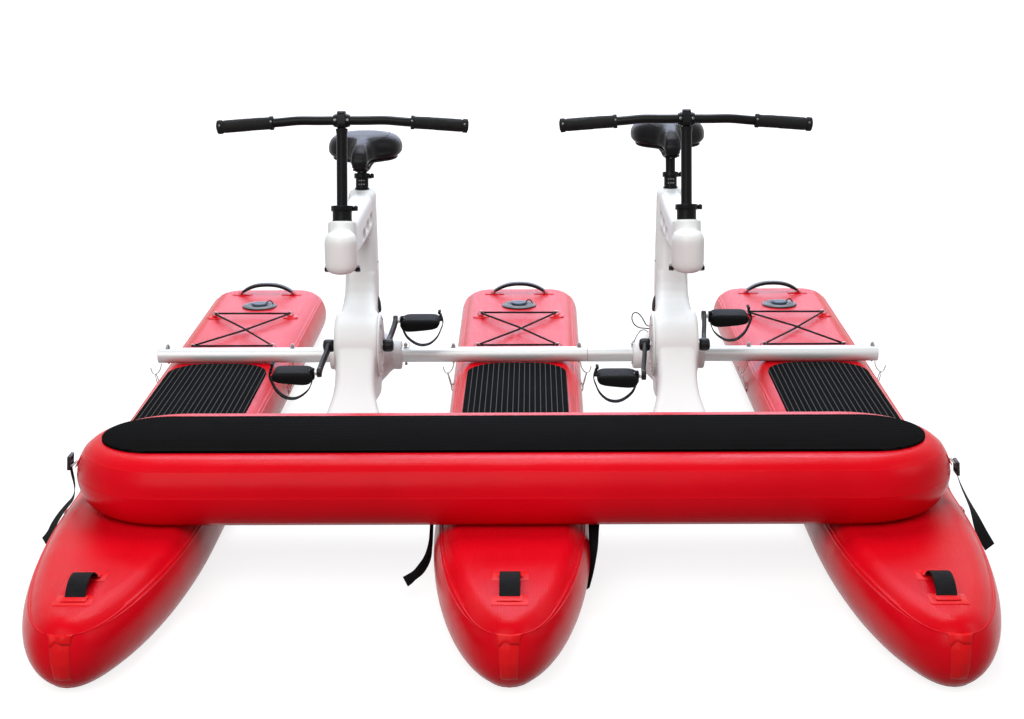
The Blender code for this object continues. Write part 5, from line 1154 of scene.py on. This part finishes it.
for side, here in bike_at.items():
    cradle = here @ SEAT_TILT @ put(0, 0, SEAT_RISE[side], "X", SEAT_LEAN)
    cushion = solid(f"{side}_saddle_cushion", skin(saddle_rings(0.985, 0.13)), cover_black)
    smoothed(cushion)
    fused(cushion, 0.005)
    before = [vertex.co.copy() for vertex in cushion.data.vertices]
    cloth = cushion.modifiers.new("swell", "CLOTH")
    cloth.settings.use_pressure = True
    cloth.settings.uniform_pressure_force = 4.0
    cloth.settings.effector_weights.gravity = 0.0
    cloth.settings.tension_stiffness = 25
    cloth.settings.bending_stiffness = 4
    for step in range(1, 21):
        bpy.context.scene.frame_set(step)
    settle(cushion)
    bpy.context.scene.frame_set(1)
    for vertex, start in zip(cushion.data.vertices, before):
        shift = vertex.co - start
        limit = 0.005 if start.z > 0.03 else 0.0015
        if shift.length > limit:
            vertex.co = start + shift * (limit / shift.length)
    smoothed(cushion, 60)
    for hand in (-1, 1):
        rows = [(ring[0][1], Vector(ring[8])) for ring in saddle_rings(0.93, 0.13)]
        seam = []
        for k in range(29):
            y = SADDLE_NOSE + SADDLE_LENGTH * (0.44 + 0.0195 * k)
            for (y0, a), (y1, b) in zip(rows, rows[1:]):
                if y0 <= y <= y1:
                    near = a.lerp(b, (y - y0) / (y1 - y0))
                    found = cushion.closest_point_on_mesh((hand * near.x, near.y, near.z + 0.004))
                    seam.append(found[1] + found[2] * 0.0001)
                    break
        keep(cord(f"{side}_saddle_seam_{hand + 1}", [cradle @ p for p in seam], 0.0008, pan_black),
            f"{side}_seat", "saddle_cover")
    cushion.data.transform(cradle)
    keep(cushion, f"{side}_seat", "saddle_cover", f"{side}_bike_saddle")
    pan = solid(f"{side}_saddle_pan",
        skin([[(u * 0.86, v * 0.93 + 0.0025, 0.006 + w * 0.12) for u, v, w in ring]
        for ring in saddle_rings(0.98, 0.0)]), pan_black)
    smoothed(pan, 60)
    pan.data.transform(cradle)
    keep(pan, f"{side}_seat", "black_plastic")

# ---------------------------------------------------------------- cranks
# Forged black cranks, waisted between a round boss and the pedal's eye, each with a bolt in
# its boss; the inner one also carries the spindle and the belt's upper pulley in the drum.
forged = finish("forged_black", (0.01, 0.01, 0.011), (0.006, 0.006, 0.007), (0.28, 0.42), 30, 1400, 0.0001,
    mirror=0.16, marks=(0.016, 0.016, 0.017))
DIP = {"left": math.radians(13.5), "right": math.radians(18.0)}
PEDAL_X, CRANK_LENGTH = 0.1566, 0.152
for side, here in bike_at.items():
    inner = INWARD[side]
    for label, hand in (("inner", inner), ("outer", -inner)):
        out = CRANK_AT @ Matrix.Rotation(hand * math.pi / 2, 4, "Y")
        along = Vector((0, hand * math.cos(DIP[side]), hand * math.sin(DIP[side])))
        shares = [k / 24 for k in range(-1, 25)]
        line = [Vector((hand * (0.0823 + 0.0103 * (3 * s * s - 2 * s ** 3 if s > 0 else 0)), 0, 0)) + along
            * (CRANK_LENGTH * max(s, -0.03)) for s in shares]
        sections = [rounded(0.03 - 0.011 * min(max(s, 0) / 0.3, 1) + 0.004 * max(s - 0.7, 0) / 0.3, 0.0125,
            0.0035) for s in shares]
        forms = [swept(line, sections, Vector((1, 0, 0)).cross(along)),
            placed(spun([(0, 0.0968), (0.0105, 0.0968), (0.0145, 0.0955), (0.0168, 0.0925), (0.0178, 0.088),
            (0.0178, 0.0745), (0.0166, 0.07), (0.0145, 0.0678), (0, 0.0678)]), out)]
        eye = Vector((0, *CRANK)) + along * CRANK_LENGTH
        eye_at = Matrix.Translation(eye) @ Matrix.Rotation(hand * math.pi / 2, 4, "Y")
        forms[0] = placed(forms[0], CRANK_AT)
        forms.append(placed(spun([(0, 0.0991), (0.0118, 0.0991), (0.0135, 0.0978), (0.0135, 0.0874),
            (0.0118, 0.0861), (0, 0.0861)]), eye_at))
        arm = moulded(f"{side}_crank_arm_{label}", forms, [], forged, 0.0016, 3)
        arm.data.transform(here)
        keep(arm, f"{side}_cranks", "black_metal", f"{side}_bike_crank_{label}")
        bolt = spun([(0, 0.0955), (0.004, 0.0955), (0.005, 0.0972), (0.0075, 0.0975), (0.0085, 0.0966),
            (0, 0.096)], 32)
        keep(solid(f"{side}_crank_bolt_{label}", bolt, screw_steel, here @ out), f"{side}_cranks",
            "satin_aluminium")
        pin = spun([(0, 0.152), (0.0062, 0.152), (0.007, 0.151), (0.007, 0.1053), (0.0082, 0.1045),
            (0.0082, 0.0989), (0, 0.0989)], 32)
        keep(solid(f"{side}_pedal_axle_{label}", pin, steel, here @ eye_at), f"{side}_cranks",
            "satin_aluminium")
        if label == "inner":
            shaft = spun([(0, 0.0678), (0.01, 0.0678), (0.01, 0.0355), (0.05, 0.0355), (0.054, 0.0345),
                (0.054, 0.0215), (0.05, 0.0205), (0.01, 0.0205), (0.01, -0.0678), (0, -0.0678)])
            keep(solid(f"{side}_crank_spindle", shaft, steel, here @ out), f"{side}_cranks", "black_metal")

# ---------------------------------------------------------------- pedals
# Broad black moulded pedals with a fine grain, hung a little below their axles, and a strap of
# black webbing below each with a buckle at its outer end.
pedal_black = finish("pedal_moulding", (0.0055, 0.0055, 0.006), (0.0035, 0.0035, 0.004), (0.55, 0.72), 40,
    1200, 0.0003, mirror=0.06, marks=(0.012, 0.012, 0.013))
for side, here in bike_at.items():
    inner = INWARD[side]
    for label, hand in (("inner", inner), ("outer", -inner)):
        body = f"{side}_pedal_{label}"
        along = Vector((0, hand * math.cos(DIP[side]), hand * math.sin(DIP[side])))
        middle = here @ Matrix.Translation(Vector((hand * PEDAL_X, *CRANK)) + along * CRANK_LENGTH)
        block = []
        for k in range(25):
            out = -1 + k / 12
            ease = (1 - abs(out) ** 6) ** 0.6
            taper = 0.0095 * ((1 + out) / 2) ** 1.6
            tall = 0.012 + 0.024 * ease - taper
            block.append([(hand * (0.0075 + out * 0.0545), v, w + taper / 2 - 0.0085)
                for v, w in rounded(0.066 + 0.026 * ease, tall, min(0.011, tall * 0.36), 6)])
        keep(solid(f"{side}_pedal_block_{label}", skin(block), pedal_black, middle, 50), body,
            "black_plastic", f"{side}_bike_pedal_{label}")
        hub = placed(skin([[(v, w - 0.004, x) for v, w in rounded(0.024 * s, 0.03 * s, 0.005, 6)]
            for x, s in ((-0.0505, 0.9), (-0.0495, 1.0), (-0.044, 1.0), (-0.04, 1.0))]),
            Matrix.Rotation(hand * math.pi / 2, 4, "Z") @ Matrix.Rotation(math.pi / 2, 4, "X"))
        keep(solid(f"{side}_pedal_hub_{label}", hub, pedal_black, middle), body, "black_plastic")
        path = eased([(hand * out, 0, rise) for out, rise in ((-0.04, -0.018), (-0.043, -0.026),
            (-0.033, -0.048), (-0.012, -0.066), (0.009, -0.073), (0.033, -0.068), (0.0536, -0.049),
            (0.065, -0.025), (0.07, -0.01), (0.069, 0.003), (0.065, 0.014), (0.06, 0.0215))], 5)
        strap = solid(f"{side}_foot_strap_{label}", swept(path, rounded(0.024, 0.0026, 0.001),
            Vector((0, 1, 0))), webbing, middle)
        keep(strap, body, "black_webbing")
        buckle_at = middle @ put(hand * 0.064, 0, 0.012, "Y", hand * -0.25)
        for k, (rise, tall) in enumerate(((0.012, 0.006), (-0.0095, 0.005), (0.001, 0.004))):
            bar = short_bar(0.016, (0, 0, rise), (0, 1, 0), (0.0055, tall - 0.001), (0.0075, tall), 0.001)
            keep(solid(f"{side}_strap_buckle_{label}_{k}", bar, pedal_black, buckle_at), body,
                "black_plastic")

# ---------------------------------------------------------------- legs, propellers, rudders
# Under each bike a white drive leg lies level, with a grey two-bladed propeller at its front
# end and a small rudder behind; a toothed rubber belt drives it from the crank.
grey_blade = finish("grey_blade", (0.22, 0.24, 0.26), (0.17, 0.19, 0.21), (0.35, 0.5), 40, 1200, 0.0001)
belt_black = finish("belt_black", (0.01, 0.01, 0.01), (0.006, 0.006, 0.006), (0.6, 0.8), 60, 1500, 0.0002)
for side in bike_at:
    for piece, material in (("drive_leg", shell), ("rudder", shell), ("propeller", grey_blade),
            ("drive_belt", belt_black), ("lower_pulley", forged)):
        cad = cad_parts[f"{side}_bike_{piece}"]
        cad.data.materials.clear()
        cad.data.materials.append(material)
        if piece != "drive_belt":
            edge = cad.modifiers.new("edge", "BEVEL")
            edge.width = 0.0015
            edge.segments = 3
            edge.limit_method = "ANGLE"
            edge.angle_limit = math.radians(38)

# ---------------------------------------------------------------- floor, light and background
# The craft stands on a plain white studio floor under broad soft lamps, before white.
floor_white = finish("studio_floor", (0.26, 0.26, 0.26), (0.25, 0.25, 0.25), (0.8, 0.92), 0.5, 30, 0.0002,
    mirror=0.0)


def looked_at(tree):
    """One where the camera looks straight, in a mirror or through glass, and otherwise zero."""
    rays = node(tree, "LightPath")
    seen = rays.outputs["Is Camera Ray"]
    for label in ("Is Glossy Ray", "Is Transmission Ray"):
        seen = node(tree, "Math", seen, rays.outputs[label], operation="MAXIMUM").outputs[0]
    return seen


tree = floor_white.node_tree
away = node(tree, "VectorMath", node(tree, "TexCoord").outputs["Object"],
    operation="LENGTH").outputs["Value"]
glow = node(tree, "MapRange", Value=away, From_Min=2.4, From_Max=5.5, To_Min=0.84,
    To_Max=1.0).outputs["Result"]
shown = node(tree, "Math", glow, looked_at(tree), operation="MULTIPLY").outputs[0]
feed(tree, tree.nodes["Principled BSDF"], Emission_Color=(1, 1, 1, 1), Emission_Strength=shown)
sheet = bmesh.new()
bmesh.ops.create_grid(sheet, x_segments=1, y_segments=1, size=30)
floor = solid("studio_floor", sheet, floor_white, put(0, 0, -0.0005))
for name, spot, aim, size, power in (("lamp_front", (-1.6, -5.0, 4.4), (0, -0.4, 0.2), 5.0, 345),
        ("lamp_right", (4.4, -1.4, 3.4), (0, 0, 0.3), 2.4, 60),
        ("lamp_over", (0, 1.6, 4.6), (0, 0, 0), 2.8, 205),
        ("lamp_behind", (0, 6.9, 3.2), (0, 0, 0.4), 5.0, 215)):
    lamp = bpy.data.objects.new(name, bpy.data.lights.new(name, "AREA"))
    lamp.data.size = size
    lamp.data.energy = power
    lamp.data.color = {"lamp_over": (0.86, 0.92, 1.0), "lamp_behind": (0.64, 0.71, 1.0)}.get(name,
        (1.0, 0.995, 0.985))
    lamp.visible_camera = False
    lamp.location = spot
    lamp.rotation_euler = (Vector(aim) - Vector(spot)).to_track_quat("-Z", "Y").to_euler()
    bpy.context.scene.collection.objects.link(lamp)
world = bpy.data.worlds.new("white_room")
bpy.context.scene.world = world
world.use_nodes = True
tree = world.node_tree
strength = node(tree, "MapRange", Value=looked_at(tree), To_Min=0.22, To_Max=1.0)
feed(tree, tree.nodes["Background"], Color=(1, 1, 1, 1), Strength=strength.outputs["Result"])
bpy.context.scene.view_settings.view_transform = "Standard"
